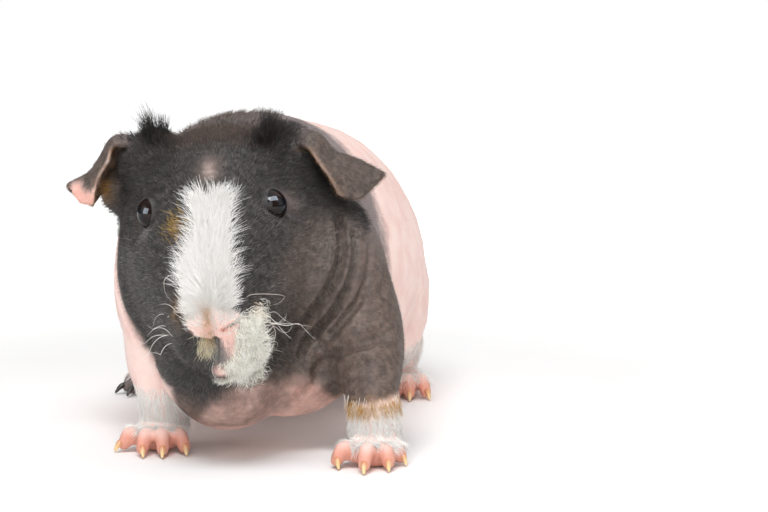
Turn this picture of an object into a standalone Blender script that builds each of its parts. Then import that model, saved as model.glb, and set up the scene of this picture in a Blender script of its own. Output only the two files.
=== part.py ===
"""A skinny pig (a nearly hairless guinea pig) standing at rest, as a life-size still model.

The pig faces -Y with its left side at +X, and stands on Z = 0. Sizes below are in millimetres and
are turned to metres by MM where a shape is made. The flesh is one smooth form, built from lofts and
rounded masses, then shaped with small strokes and parted with thin curved cuts into named pieces.
"""

import math

import bmesh
import bpy
import numpy as np
from mathutils import Matrix, Vector
from mathutils.bvhtree import BVHTree

MM = 0.001
GAP = 0.3
FINE_GRID = 1.1
FLESH_TRIANGLES = 6700
THINNING = 0.08

# The head: where its nose tip is and how it is turned.
NOSE = np.array([-1.5, -70.0, 54.0])
HEAD_PITCH = math.radians(-22)
HEAD_YAW = math.radians(6)
HEAD_ROLL = math.radians(4)
HEAD_TURN = np.array(Matrix.Rotation(HEAD_YAW, 3, "Z") @ Matrix.Rotation(-HEAD_PITCH, 3, "X")
                     @ Matrix.Rotation(-HEAD_ROLL, 3, "Y"))
# Sections of the head: distance behind the nose, top, bottom, half width, height of the widest point.
HEAD_PROFILE = [
    (0.3, 3.5, -6, 7.5, -1),
    (2.5, 8.5, -15, 11.5, -5),
    (6.5, 12.5, -20, 14.5, -8),
    (13, 16.5, -25, 17.5, -9),
    (21, 20, -29, 21, -9),
    (31, 24, -33, 25.5, -8),
    (43, 28, -37, 30.5, -6),
    (55, 30.5, -40, 34, -5),
    (68, 31.5, -41, 36, -4),
    (82, 29, -39, 36, -4),
    (94, 22, -32, 30, -4),
    (102, 10, -18, 17, -4),
]

# Sections of the trunk: place along the body, sideways drift, bottom, top, half width, share of the
# height where it is widest.
TRUNK_PROFILE = [
    (-24, -6, 34, 86, 24, 0.45),
    (-12, -6, 18, 107, 38, 0.45),
    (6, -6, 12, 118, 46, 0.43),
    (28, -2, 11, 122, 50, 0.42),
    (52, 1, 10.5, 119.5, 52, 0.41),
    (80, 2, 10, 117.5, 54, 0.40),
    (108, 3, 9.5, 114, 55, 0.40),
    (132, 3, 10, 105, 52, 0.40),
    (152, 3, 13, 88, 43, 0.42),
    (166, 3, 21, 70, 28, 0.45),
    (173, 3, 33, 54, 12, 0.5),
]

# The eyes, in head terms (back, outwards, up): the front of the left and the right eye, where they look,
# and how deep their middles lie. The openings are half sizes measured along the eyeball, and they lie a
# little forward or back on it.
EYE_PLACES = {1: np.array([53.0, 23.0, 17.0]), -1: np.array([54.0, 27.0, 16.5])}
EYE_GAZE = np.array([-0.50, 0.83, 0.25])
EYE_SINK = 5.67
EYE_RADIUS = 6.5
EYE_OPENING = {1: (6.0, 7.2), -1: (6.0, 6.2)}
EYE_FORWARD = {1: 1.1, -1: -0.5}
EYE_SEGMENTS = 18
LID_RADIUS = 7.25


def spline(rows, steps):
    """Rows of numbers, resampled along a smooth curve through them, `steps` to each span."""
    rows = np.asarray(rows, float)
    padded = np.vstack([2 * rows[0] - rows[1], rows, 2 * rows[-1] - rows[-2]])
    t = np.linspace(0, 1, steps, endpoint=False)[:, None]
    spans = []
    for a, b, c, d in zip(padded, padded[1:], padded[2:], padded[3:]):
        spans.append(0.5 * (2 * b + (c - a) * t + (2 * a - 5 * b + 4 * c - d) * t**2
                            + (3 * b - a - 3 * c + d) * t**3))
    return np.vstack(spans + [rows[-1:]])


def unit(vector):
    return np.asarray(vector, float) / np.linalg.norm(vector)


def head_way(back, side, up):
    """A direction in head terms, turned to the world."""
    return HEAD_TURN @ np.array([side, back, up], float)


def head_point(back, side, up):
    """A point of the head: back from the nose, to the pig's left, and up, in world millimetres."""
    return NOSE + head_way(back, side, up)


def head_path(rows, left=1):
    return np.array([head_point(back, side * left, up) for back, side, up in rows])


def egg(half_width, low, high, widest, peak=0.92, keel=1.0, sides=48):
    """An egg-shaped section as (side, up) rows. A peak or keel over 1 narrows its upper or lower half."""
    angle = np.linspace(0, 2 * math.pi, sides, endpoint=False)
    c, s = np.cos(angle), np.sin(angle)
    side = half_width * np.sign(c) * np.abs(c) ** np.where(s < 0, keel, peak)
    up = widest + np.where(s >= 0, (high - widest), (widest - low)) * s
    return np.stack([side, up], 1)


def loft(bm, rings):
    """Closed rings of points joined one to the next, with both ends capped."""
    made = [[bm.verts.new(Vector(p) * MM) for p in ring] for ring in rings]
    for a, b in zip(made, made[1:]):
        for i in range(len(a)):
            j = (i + 1) % len(a)
            bm.faces.new((a[i], a[j], b[j], b[i]))
    bm.faces.new(made[0][::-1])
    bm.faces.new(made[-1])


def mass(bm, centre, radii, turn=np.eye(3), segments=32):
    """A rounded mass."""
    place = Matrix.Translation(Vector(centre) * MM) @ Matrix(turn.tolist()).to_4x4()
    bmesh.ops.create_uvsphere(bm, u_segments=segments, v_segments=segments * 5 // 8, radius=1.0,
                              matrix=place @ Matrix.Diagonal([r * MM for r in radii] + [1]))


def limb(bm, rows, side=(1, 0, 0), steps=6, sides=20, swell=0.0, rounding=4):
    """A tube through rows of (x, y, z, half width, half depth) with rounded ends."""
    rows = spline(rows, steps)
    path, widths, depths = rows[:, :3], rows[:, 3] + swell, rows[:, 4] + swell
    tangents = np.gradient(path, axis=0)
    tangents /= np.linalg.norm(tangents, axis=1)[:, None]
    angle = np.linspace(0, 2 * math.pi, sides, endpoint=False)
    caps = np.sin(np.linspace(0.12, 1, rounding + 1)[:-1] * math.pi / 2)
    stations = [(0, c) for c in caps] + [(i, 1.0) for i in range(len(path))]
    stations += [(len(path) - 1, c) for c in caps[::-1]]
    rings = []
    for n, (i, share) in enumerate(stations):
        t = tangents[i]
        across = unit(np.cross(np.cross(t, side), t))
        normal = np.cross(t, across)
        reach = math.sqrt(max(0.0, 1 - share**2)) * min(widths[i], depths[i])
        centre = path[i] + t * reach * (-1 if n < len(caps) else 1)
        rings.append(centre + share * (np.outer(np.cos(angle) * widths[i], across)
                                       + np.outer(np.sin(angle) * depths[i], normal)))
    loft(bm, rings)


def block(bm, low, high):
    """A box between two corners."""
    middle, size = (np.asarray(low) + high) / 2, np.asarray(high) - low
    place = Matrix.Translation(Vector(middle) * MM) @ Matrix.Diagonal([s * MM for s in size] + [1])
    bmesh.ops.create_cube(bm, size=1.0, matrix=place)


def new_object(name, bm):
    mesh = bpy.data.meshes.new(name)
    bmesh.ops.recalc_face_normals(bm, faces=bm.faces)
    bm.to_mesh(mesh)
    bm.free()
    obj = bpy.data.objects.new(name, mesh)
    bpy.context.scene.collection.objects.link(obj)
    return obj


def shape(name, make, *sizes, **more):
    """A new object from one of the shape functions above."""
    bm = bmesh.new()
    make(bm, *sizes, **more)
    return new_object(name, bm)


def applied(obj):
    """The object with its modifiers applied."""
    graph = bpy.context.evaluated_depsgraph_get()
    mesh = bpy.data.meshes.new_from_object(obj.evaluated_get(graph))
    obj.modifiers.clear()
    old, obj.data = obj.data, mesh
    bpy.data.meshes.remove(old)
    return obj


def copied(obj, name):
    twin = obj.copy()
    twin.data = obj.data.copy()
    twin.name = name
    bpy.context.scene.collection.objects.link(twin)
    return twin


def combined(obj, operation, other):
    """One Boolean with another object, which is then removed."""
    modifier = obj.modifiers.new("fit", "BOOLEAN")
    modifier.operation, modifier.object = operation, other
    applied(obj)
    bpy.data.objects.remove(other)
    return obj


def keep_largest(obj):
    """Keeps only the largest connected surface of a mesh."""
    bm = bmesh.new()
    bm.from_mesh(obj.data)
    left = set(bm.verts)
    pieces = []
    while left:
        stack = [left.pop()]
        piece = list(stack)
        while stack:
            for edge in stack.pop().link_edges:
                for vert in edge.verts:
                    if vert in left:
                        left.remove(vert)
                        stack.append(vert)
                        piece.append(vert)
        pieces.append(piece)
    pieces.sort(key=len)
    for piece in pieces[:-1]:
        bmesh.ops.delete(bm, geom=piece, context="VERTS")
    bmesh.ops.triangulate(bm, faces=bm.faces)
    bm.to_mesh(obj.data)
    bm.free()
    return obj


# The legs, each as rows of x, y, z, half width, half depth, from the body down to the wrist.
LEFT_ARM = [(33, 14, 62, 17, 25), (40, -2, 46, 17, 22), (45, -17, 36, 14.5, 15), (48, -28, 26, 10.5, 10.5),
            (49.5, -30.5, 18, 9.3, 9), (49.5, -30, 10, 8.8, 8)]
RIGHT_ARM = [(-31, 18, 60, 17, 24), (-33, 6, 44, 15, 21), (-33.5, -4, 31, 12, 14), (-31, -9, 23, 9.7, 10),
             (-30, -9, 16, 8.8, 9), (-30.5, -7, 9.5, 8.5, 8)]
LEFT_SHANK = [(38, 124, 36, 17, 22), (42, 136, 20, 13, 17), (42.5, 145, 9, 8.5, 10)]
RIGHT_SHANK = [(-36, 122, 36, 17, 22), (-44, 134, 20, 13, 17), (-44, 144, 9, 8.5, 10)]
# Each foot: its root, its ball, the tips of its toes from the inner one outwards, and its claws' tips.
FEET = {
    "fore_left": {"root": (49.5, -31, 8.4), "ball": (49.5, -38, 4.8),
                  "toes": [(37, -42), (47.5, -49.5), (55.5, -44.5), (59, -34)],
                  "claws": [(38.2, -46.5), (47.8, -54.5), (56, -49), (61.2, -37.6)]},
    "fore_right": {"root": (-30.5, -8, 8.4), "ball": (-32, -16, 4.8),
                   "toes": [(-20.5, -22.5), (-27.5, -27.5), (-35, -27.5), (-43.5, -18.5)],
                   "claws": [(-19, -26.8), (-26.8, -32.3), (-33.8, -32.3), (-46.3, -21.8)]},
    "hind_left": {"root": (42, 148, 7.2), "ball": (49, 116, 4.8),
                  "toes": [(46.5, 103), (52, 99.5), (58.5, 103)],
                  "claws": [(46.5, 97.5), (52.5, 94), (60.5, 98)]},
    "hind_right": {"root": (-43, 146, 7.2), "ball": (-56, 115, 4.8),
                   "toes": [(-57, 101.5), (-63.5, 100.5), (-68, 106)],
                   "claws": [(-58, 96), (-66, 95.5), (-72.5, 102.5)]},
}
TOE_HEIGHT = 2.7
CLAW_RADII = (1.3, 1.15, 0.45)


def foot(bm, name, place):
    """A foot: its sole and its arched toes."""
    root, ball = np.array(place["root"]), np.array(place["ball"])
    if name.startswith("fore"):
        limb(bm, [(*root, 8.2, 7.5), (*((root + ball) / 2 + (0, 0, -0.3)), 8.8, 6.4), (*ball, 9.4, 5.0)])
    else:
        limb(bm, [(*root, 6.5, 8), (*((root + ball) / 2), 6.8, 6.6), (*ball, 8.2, 5.2)])
    for x, y in place["toes"]:
        tip = np.array([x, y, TOE_HEIGHT])
        toe_root = ball + 0.33 * (tip - ball) * (1, 1, 0) + (0, 0, 0.5)
        toe_root[0] = ball[0] + 0.6 * (x - ball[0])
        knuckle = 0.45 * toe_root + 0.55 * tip + (0, 0, 3.0)
        limb(bm, [(*toe_root, 3.5, 3.6), (*knuckle, 2.9, 3.1), (*tip, 2.5, 2.9)], steps=4, sides=14)


def masses(bm):
    """All the rounded forms of the body, still overlapping."""
    rings = []
    for back, high, low, half_width, widest in spline(HEAD_PROFILE, 5):
        section = egg(half_width, low, high, widest, peak=1.22, keel=1.0)
        rings.append([head_point(back, side, up) for side, up in section])
    loft(bm, rings)
    rings = []
    for along, drift, low, high, half_width, share in spline(TRUNK_PROFILE, 5):
        section = egg(half_width, low, high, low + share * (high - low))
        rings.append([(drift + side, along, up) for side, up in section])
    loft(bm, rings)
    for left in (1, -1):
        mass(bm, head_point(58, 13 * left, -12), (21.5, 29, 27), HEAD_TURN)       # cheek
        mass(bm, head_point(9.5, 6.3 * left, -11.5), (9.2, 9, 9.6), HEAD_TURN)    # whisker pad
        mass(bm, eye_centre(left), (8.2, 8.2, 8.2))                               # brow and socket
        mass(bm, head_point(84, 24 * left, 22), (13, 13, 12), HEAD_TURN)          # ear root
        mass(bm, head_point(74, 21 * left, 4), (12, 20, 19), HEAD_TURN)           # side of the head
        mass(bm, (3 + 34 * left, 121, 41), (22, 38, 34))                          # thigh
    mass(bm, head_point(90, -36, 9), (11, 10, 10), HEAD_TURN)                     # behind the right ear
    mass(bm, head_point(4.4, 0, 0.0), (11, 5.4, 5.8), HEAD_TURN)                  # nose pad
    mass(bm, head_point(14.5, 0, -21), (8.5, 10, 7), HEAD_TURN)                   # chin
    mass(bm, (-6, 2, 68), (42, 35, 48))                                           # neck
    mass(bm, (-5, -15, 40), (27, 34, 31.5))                                       # throat
    mass(bm, (14, -4, 31), (26, 25, 19.5))                                        # chest
    mass(bm, (28, 6, 60), (23, 32, 32))                                           # left shoulder
    mass(bm, (-28, 12, 56), (18, 30, 32))                                         # right shoulder
    for rows in (LEFT_ARM, RIGHT_ARM, LEFT_SHANK, RIGHT_SHANK):
        limb(bm, rows)
    for name, place in FEET.items():
        foot(bm, name, place)


def eye_centre(left):
    middle = EYE_PLACES[left] - EYE_SINK * unit(EYE_GAZE)
    return head_point(middle[0], middle[1] * left, middle[2])


def eye_ways(left):
    """The eye's own directions: towards what it looks at, to its nose-side corner, and up."""
    gaze = unit(head_way(EYE_GAZE[0], EYE_GAZE[1] * left, EYE_GAZE[2]))
    corner = head_way(-1, -0.25 * left, -0.12)
    corner = unit(corner - gaze * (corner @ gaze))
    return gaze, corner, np.cross(corner, gaze) * left


def vertices(mesh):
    points = np.empty(len(mesh.vertices) * 3)
    mesh.vertices.foreach_get("co", points)
    return points.reshape(-1, 3) / MM


def set_vertices(mesh, points):
    mesh.vertices.foreach_set("co", (points * MM).ravel())
    mesh.update()


def vertex_normals(mesh):
    normals = np.empty(len(mesh.vertices) * 3)
    mesh.vertex_normals.foreach_get("vector", normals)
    return normals.reshape(-1, 3)


def weighted(obj, name, weights):
    """A vertex group with a weight for each vertex."""
    group = obj.vertex_groups.new(name=name)
    levels = np.round(np.clip(weights, 0, 1) * 20).astype(int)
    for level in np.unique(levels):
        group.add(np.flatnonzero(levels == level).tolist(), level / 20, "REPLACE")
    return group.name


def nearness(points, path, width):
    """How near each point is to a path, from 1 on it to 0 at a width away."""
    best = np.full(len(points), np.inf)
    for a, b in zip(path, path[1:]):
        span = b - a
        t = np.clip((points - a) @ span / (span @ span + 1e-9), 0, 1)
        best = np.minimum(best, np.linalg.norm(points - a - t[:, None] * span, axis=1))
    return np.clip(1 - (best / width) ** 2, 0, 1) ** 2


def stroke(points, normals, path, width, depth, lip):
    """Presses a crease into the skin along a path, with the skin on both sides a little raised."""
    path = spline(path, 4)
    path = np.array([points[np.argmin(((points - p) ** 2).sum(1))] for p in path])
    crease = nearness(points, path, width)
    swell = np.clip(nearness(points, path, 2.6 * width) - crease, 0, 1)
    points -= normals * (depth * (crease - lip * swell))[:, None]


# Creases of the face, in head terms: path, width and depth, made on both sides.
FACE_CREASES = [
    ([(0.6, 3.6, -3.4), (0.9, 6.4, -2.4), (3.4, 9.4, 0.8)], 2.0, 2.4, 0.1),               # nostril
    ([(0.8, 0, -5.5), (1.2, 0, -10), (2.5, 0, -17)], 1.9, 1.4, 0.25),                     # cleft of the lip
    ([(3.5, 0, -18.5), (5.5, 5, -20.5), (11, 10, -19.5), (18, 14, -17)], 2.0, 1.7, 0.2),  # mouth line
]
# Folds of the neck and the arm's root, in world terms.
BODY_FOLDS = [
    ([(33.8, -9.4, 86.3), (36.5, -18, 76.3), (35.5, -22.4, 67.8), (31.1, -24.8, 59), (23.8, -24.1, 49.9),
      (18, -28, 42)], 3.2, 1.6, 0.3),                                                    # edge of the cheek
    ([(27, -21, 31), (34.8, -26.3, 37.3), (46, -28.6, 43.2), (51, -25, 44.5)], 4.6, 2.0, 0.3),  # over the arm
    ([(46, 14, 78), (47, 2, 66), (46, -10, 56)], 3.2, 0.8, 0.3),                         # left shoulder
    ([(-38, 8, 80), (-38, 2, 62), (-32, -8, 42)], 3.2, 1.2, 0.3),                        # right shoulder
    ([(-31, 15, 106), (-14, 8, 117), (4, 7.5, 117), (21, 10, 109)], 5.0, 2.2, 0.3),      # behind the crown
]


def lids(points, left):
    """Presses the skin back over the eye's opening and draws the lids round it."""
    centre, (gaze, corner, up) = eye_centre(left), eye_ways(left)
    away = points - centre
    reach = np.linalg.norm(away, axis=1)
    across, along, rise = away @ corner, away @ gaze, away @ up
    arc = EYE_RADIUS * np.arccos(np.clip(along / reach, -1, 1)) / np.maximum(np.hypot(across, rise), 1e-6)
    wide, high = EYE_OPENING[left]
    oval = np.hypot((arc * across - EYE_FORWARD[left]) / wide, arc * rise / high)
    blend = np.clip((oval - 1.12) / 0.4, 0, 1)
    blend = blend * blend * (3 - 2 * blend)
    wanted = np.where(oval < 1, EYE_RADIUS - 1.6, LID_RADIUS * (1 - blend) + reach * blend)
    near = (oval < 1.5) & (along > 0) & (reach < 14)
    points[near] += away[near] * (wanted[near] / reach[near] - 1)[:, None]


def flesh(grid, triangles=None):
    """The whole body as one smooth closed form."""
    obj = shape("flesh", masses)
    remesh = obj.modifiers.new("one skin", "REMESH")
    remesh.mode, remesh.voxel_size = "VOXEL", grid * MM
    applied(obj)
    points = vertices(obj.data)
    body = np.clip((points[:, 2] - 9) / 14, 0.08, 1)
    muzzle = np.linalg.norm(points - head_point(6, 0, -8), axis=1)
    eyes = np.min([np.linalg.norm(points - eye_centre(left), axis=1) for left in (1, -1)], axis=0)
    supple = body * np.clip((muzzle - 15) / 26, 0.1, 1) * np.clip((eyes - 4) / 14, 0.2, 1)
    smooth = obj.modifiers.new("supple skin", "SMOOTH")
    smooth.factor, smooth.iterations = 0.5, round(95 / grid**2)
    smooth.vertex_group = weighted(obj, "supple", supple)
    applied(obj)
    points, normals = vertices(obj.data), vertex_normals(obj.data)
    for path, *size in FACE_CREASES:
        stroke(points, normals, head_path(path), *size)
        if any(side for back, side, up in path):
            stroke(points, normals, head_path(path, -1), *size)
    for path, *size in BODY_FOLDS:
        stroke(points, normals, np.array(path, float), *size)
    for left in (1, -1):
        lids(points, left)
    set_vertices(obj.data, points)
    if triangles:
        fine = np.clip(1.1 - np.minimum((muzzle - 8) / 20, (eyes - 4) / 9), 0, 1)
        fine = np.maximum(fine, 0.25 * (points[:, 2] < 12))
        thin = obj.modifiers.new("fewer faces", "DECIMATE")
        thin.ratio = triangles / (2 * len(points))
        thin.vertex_group = weighted(obj, "coarse", 1 - fine)
        thin.vertex_group_factor = THINNING
        applied(obj)
    obj.vertex_groups.clear()
    return obj


# The ears, each as five ribs in head terms, from the front rim over the crest that the ear hangs from
# to the back rim. Each rib runs from inside the head to the free edge.
EARS = {
    "right": [
        [(84, -26, 28), (78.5, -36.5, 32.5), (72.5, -39, 29), (67.5, -43, 24), (65.5, -45.5, 15.5)],
        [(86, -25, 28), (82.5, -37, 32.5), (77, -41, 28.5), (72, -46, 23.5), (69.5, -50.8, 15)],
        [(89, -24, 27), (87.5, -37, 31.9), (83.5, -44, 25), (80, -47.5, 21.7), (76, -55.3, 19.2)],
        [(92, -24, 24), (93, -37, 25.5), (91, -43.5, 20), (87, -47, 16.5), (81, -55.7, 13.8)],
        [(89, -24, 18), (91.5, -34, 17), (90, -39.5, 13.5), (86, -44, 11), (77.5, -47.5, 9)],
    ],
    "left": [
        [(80, 22, 27), (73.5, 32, 29.5), (68, 36.5, 25.5), (64.5, 40.5, 20), (63, 43, 14.3)],
        [(83, 22, 28), (78, 34, 30.5), (73, 39.5, 25.5), (69.5, 46, 19), (66.5, 51.5, 11.1)],
        [(86, 21, 27), (84.5, 35, 30), (82, 42.5, 22.9), (80, 50.5, 19.9), (76, 59.9, 15.4)],
        [(90, 21, 24), (90.5, 32, 23.5), (89, 39, 16), (86, 47, 11.5), (80, 56.5, 9.1)],
        [(88, 21, 18), (89, 30, 17.5), (88, 36, 11.5), (83.5, 42.5, 7.5), (74.5, 47, 6.5)],
    ],
}
EAR_EDGE, EAR_ROOT = 1.1, 3.6


def sheet(bm, grid, thickness):
    """A thin closed sheet on a grid of points, split into triangles alike on both faces."""
    normals = np.cross(np.gradient(grid, axis=0), np.gradient(grid, axis=1))
    half = normals / np.linalg.norm(normals, axis=2)[:, :, None] * thickness[:, :, None] / 2
    front = [[bm.verts.new(Vector(p) * MM) for p in row] for row in grid + half]
    back = [[bm.verts.new(Vector(p) * MM) for p in row] for row in grid - half]
    rows, cols = len(front), len(front[0])
    for i in range(rows - 1):
        for j in range(cols - 1):
            for face in (front, back):
                a, b, c, d = face[i][j], face[i + 1][j], face[i + 1][j + 1], face[i][j + 1]
                bm.faces.new((a, b, c))
                bm.faces.new((a, c, d))
    rim = [(i, 0) for i in range(rows)] + [(rows - 1, j) for j in range(1, cols)]
    rim += [(i, cols - 1) for i in range(rows - 2, -1, -1)] + [(0, j) for j in range(cols - 2, 0, -1)]
    for (i, j), (k, m) in zip(rim, rim[1:] + rim[:1]):
        bm.faces.new((front[i][j], back[i][j], back[k][m], front[k][m]))


def ear(side, steps):
    """An ear: a thin petal that hangs over its crest, thicker at its root."""
    ribs = [spline([head_point(*p) for p in rib], steps) for rib in EARS[side]]
    grid = np.stack([spline([rib[n] for rib in ribs], steps - 1) for n in range(len(ribs[0]))])
    down = np.linspace(0, 1, len(grid))[:, None] * np.ones(grid.shape[:2])
    thickness = EAR_EDGE + (EAR_ROOT - EAR_EDGE) * np.clip(1 - down / 0.5, 0, 1) ** 2
    return shape("ear_" + side, sheet, grid, thickness)


def claw(name, place, toe):
    """A claw: a curved, tapered horn from inside the toe's tip down to the ground."""
    start = np.array([*place["toes"][toe], TOE_HEIGHT + 0.9])
    end = np.array([*place["claws"][toe], CLAW_RADII[2] + 0.15])
    middle = (start + end) / 2 + (0, 0, 1.1)
    rows = [(*row, radius, radius) for row, radius in zip((start, middle, end), CLAW_RADII)]
    return shape(name, limb, rows, side=np.cross(end - start, (0, 0, 1)), steps=2, sides=7, rounding=1)


def grown(obj, name, by):
    """A copy of a form, a little larger all round."""
    twin = copied(obj, name)
    set_vertices(twin.data, vertices(twin.data) + vertex_normals(twin.data) * by)
    return twin


# Where the pieces part. Each region is a solid round the piece.
LEG_REGIONS = {
    "fore_left": (limb, [(41, 2, 52, 15, 17), (43, -8, 42, 17, 19), (46.5, -20, 33, 18, 18),
                         (49, -30, 22, 17, 17), (50, -37, 8, 19, 20), (50, -40, -6, 20, 20)]),
    "fore_right": (limb, [(-37, 8, 50, 13, 17), (-36, 2, 40, 14, 17), (-35, -6, 30, 14, 16),
                          (-31, -10, 21, 14, 15), (-32, -14, 8, 20, 19), (-32, -16, -6, 20, 20)]),
    "hind_left": (limb, [(44, 122, 52, 21, 33), (47, 121, 34, 25, 38), (52, 120, 8, 30, 42),
                         (52, 120, -10, 30, 42)]),
    "hind_right": (limb, [(-39, 122, 52, 21, 33), (-43, 121, 34, 25, 38), (-54, 120, 8, 33, 42),
                          (-54, 120, -10, 33, 42)]),
}
WRIST = 10.5
ANKLE = 15.0


def region(kind, swell):
    make, *sizes = kind
    if make is mass:
        centre, radii, *turn = sizes
        return shape("region", mass, centre, [r + swell for r in radii], *turn, segments=20)
    return shape("region", limb, sizes[0], steps=2, sides=12, swell=swell, rounding=2)


def part_off(body, kind, name):
    """Parts off what lies inside a region, leaving a thin gap along the cut."""
    piece = combined(copied(body, name), "INTERSECT", region(kind, -GAP / 2))
    combined(body, "DIFFERENCE", region(kind, GAP / 2))
    return keep_largest(piece)


def part_below(body, height, name):
    """Parts off what lies below a level, leaving a thin gap along the cut."""
    far = 400
    piece = copied(body, name)
    low_box = shape("low", block, (-far, -far, -far), (far, far, height - GAP / 2))
    high_box = shape("high", block, (-far, -far, height + GAP / 2), (far, far, far))
    combined(piece, "INTERSECT", low_box)
    combined(body, "INTERSECT", high_box)
    keep_largest(body)
    return keep_largest(piece)


def part_in_front(body, point, way, name):
    """Parts off what lies in front of a slanted plane, leaving a thin gap along the cut."""
    far = 400
    turn = Vector((0, 1, 0)).rotation_difference(Vector(way)).to_matrix().to_4x4()
    place = Matrix.Translation(Vector(point) * MM) @ turn
    piece = copied(body, name)
    front = shape("front", block, (-far, -far, -far), (far, -GAP / 2, far))
    back = shape("back", block, (-far, GAP / 2, -far), (far, far, far))
    for box in (front, back):
        box.data.transform(place)
    combined(piece, "INTERSECT", front)
    combined(body, "INTERSECT", back)
    return keep_largest(piece)


HEAD_REGION = (mass, head_point(42, 0, 12), (68, 54, 58), HEAD_TURN)
NECK_BACK = (0, 24, 60)
NECK_WAY = (0, 0.97, -0.25)

# Locks of bristly hair on the head. Each root is, in head terms, a start and a direction that lead to its
# place on the skin, then the way that the hair grows, how steeply it lifts off the skin (0 keeps the
# way as it is) and its length.
LOCK_WIDTH, LOCK_THICKNESS, LOCK_SINK = 2.9, 0.8, 1.6
TUFTS = ((83.0, -22.5), (79.5, 18.5))


def blaze_roots():
    """The white blaze: the hair grows up from the nose and fans out to both sides."""
    rows = 9
    for row, back in enumerate(np.linspace(7, 53, rows)):
        rise = row / (rows - 1)
        for side in np.linspace(-1, 1, 5 if row < rows - 1 else 3):
            half_width = 9.5 - 3.0 * min(1, 2 * rise)
            yield ((back - 4 * abs(side) * rise, side * half_width - 1.2, 40), (0, 0, -1),
                   (1, side * (0.35 + 0.4 * rise), 0), 0.42 + 0.2 * rise, 7.0 + 2.0 * rise)


def lip_roots():
    """The curly hair of the left upper lip, which grows outwards and hangs down."""
    for row, up in enumerate((-1.5, -5.5, -9.5, -13.5)):
        for place in range(4):
            stagger = 1.8 * (row % 2)
            yield ((3.2 + 3.6 * place + stagger, 30, up), (0, -1, 0),
                   (0.7 - 0.25 * place, 0.3, 0.2 - 0.45 * row), 0.6, 6.6)


def tuft_roots(back, side):
    """The black tuft in front of an ear: two rows of locks that stand up and fan out."""
    for row in (-1, 1):
        for place in (-1.5, -0.5, 0.5, 1.5):
            yield ((back + 1.5 * row, side + 1.9 * place + 0.6 * row, 60), (0, 0, -1),
                   (0.12 + 0.12 * row, 0.2 * place, 1), 0, 11.5 - abs(place))


def lock(bm, root, normal, way, length, bend):
    """One flat, tapered lock that bends out along the way it leans."""
    across = unit(np.cross(way, normal))
    over = way - normal * (way @ normal)
    rings = []
    for share, width in ((0, 1.0), (0.4, 0.95), (0.75, 0.6), (1.0, 0.12)):
        reach = share * (length + LOCK_SINK) - LOCK_SINK
        centre = root + way * reach + (over - 0.3 * normal) * bend * share**2 * length
        rise = unit(np.cross(across, way)) * LOCK_THICKNESS / 2 * max(width, 0.35)
        half = across * LOCK_WIDTH / 2 * width
        rings.append([centre + half, centre + rise, centre - half, centre - rise])
    loft(bm, rings)


def add_locks(head):
    """Fuses all the locks with the head in one union."""
    surface = BVHTree.FromObject(head, bpy.context.evaluated_depsgraph_get())
    rng = np.random.default_rng(11)
    roots = [*blaze_roots(), *lip_roots()]
    for place in TUFTS:
        roots += tuft_roots(*place)
    locks = bpy.data.collections.new("locks")
    for start, aim, way, lift, length in roots:
        place, normal, *_ = surface.ray_cast(Vector(head_point(*start)) * MM, Vector(head_way(*aim)))
        normal, way = np.array(normal), head_way(*way)
        if lift:
            way = unit(way - normal * (way @ normal)) + lift * normal
        way = unit(unit(way) + rng.normal(0, 0.1, 3))
        bm = bmesh.new()
        lock(bm, np.array(place) / MM, normal, way, length * rng.uniform(0.88, 1.12), rng.uniform(0.05, 0.3))
        hair = new_object("lock", bm)
        bpy.context.scene.collection.objects.unlink(hair)
        locks.objects.link(hair)
    union = head.modifiers.new("locks", "BOOLEAN")
    union.operation, union.operand_type, union.collection = "UNION", "COLLECTION", locks
    applied(head)
    for hair in list(locks.objects):
        bpy.data.objects.remove(hair)
    bpy.data.collections.remove(locks)
    return keep_largest(head)


def material(name, colour, roughness):
    made = bpy.data.materials.new(name)
    made.use_nodes = True
    shader = made.node_tree.nodes["Principled BSDF"]
    shader.inputs["Base Color"].default_value = (*colour, 1)
    shader.inputs["Roughness"].default_value = roughness
    return made


SHARP_EDGE = math.radians(50)
COLOURS = {
    "head": ((0.048, 0.042, 0.042), 0.75),
    "ear": ((0.12, 0.085, 0.075), 0.6),
    "neck": ((0.13, 0.10, 0.095), 0.6),
    "torso": ((0.56, 0.36, 0.30), 0.55),
    "leg": ((0.52, 0.31, 0.26), 0.55),
    "foot": ((0.60, 0.30, 0.22), 0.5),
    "claw": ((0.55, 0.36, 0.20), 0.35),
    "eye": ((0.008, 0.006, 0.006), 0.05),
}


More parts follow.
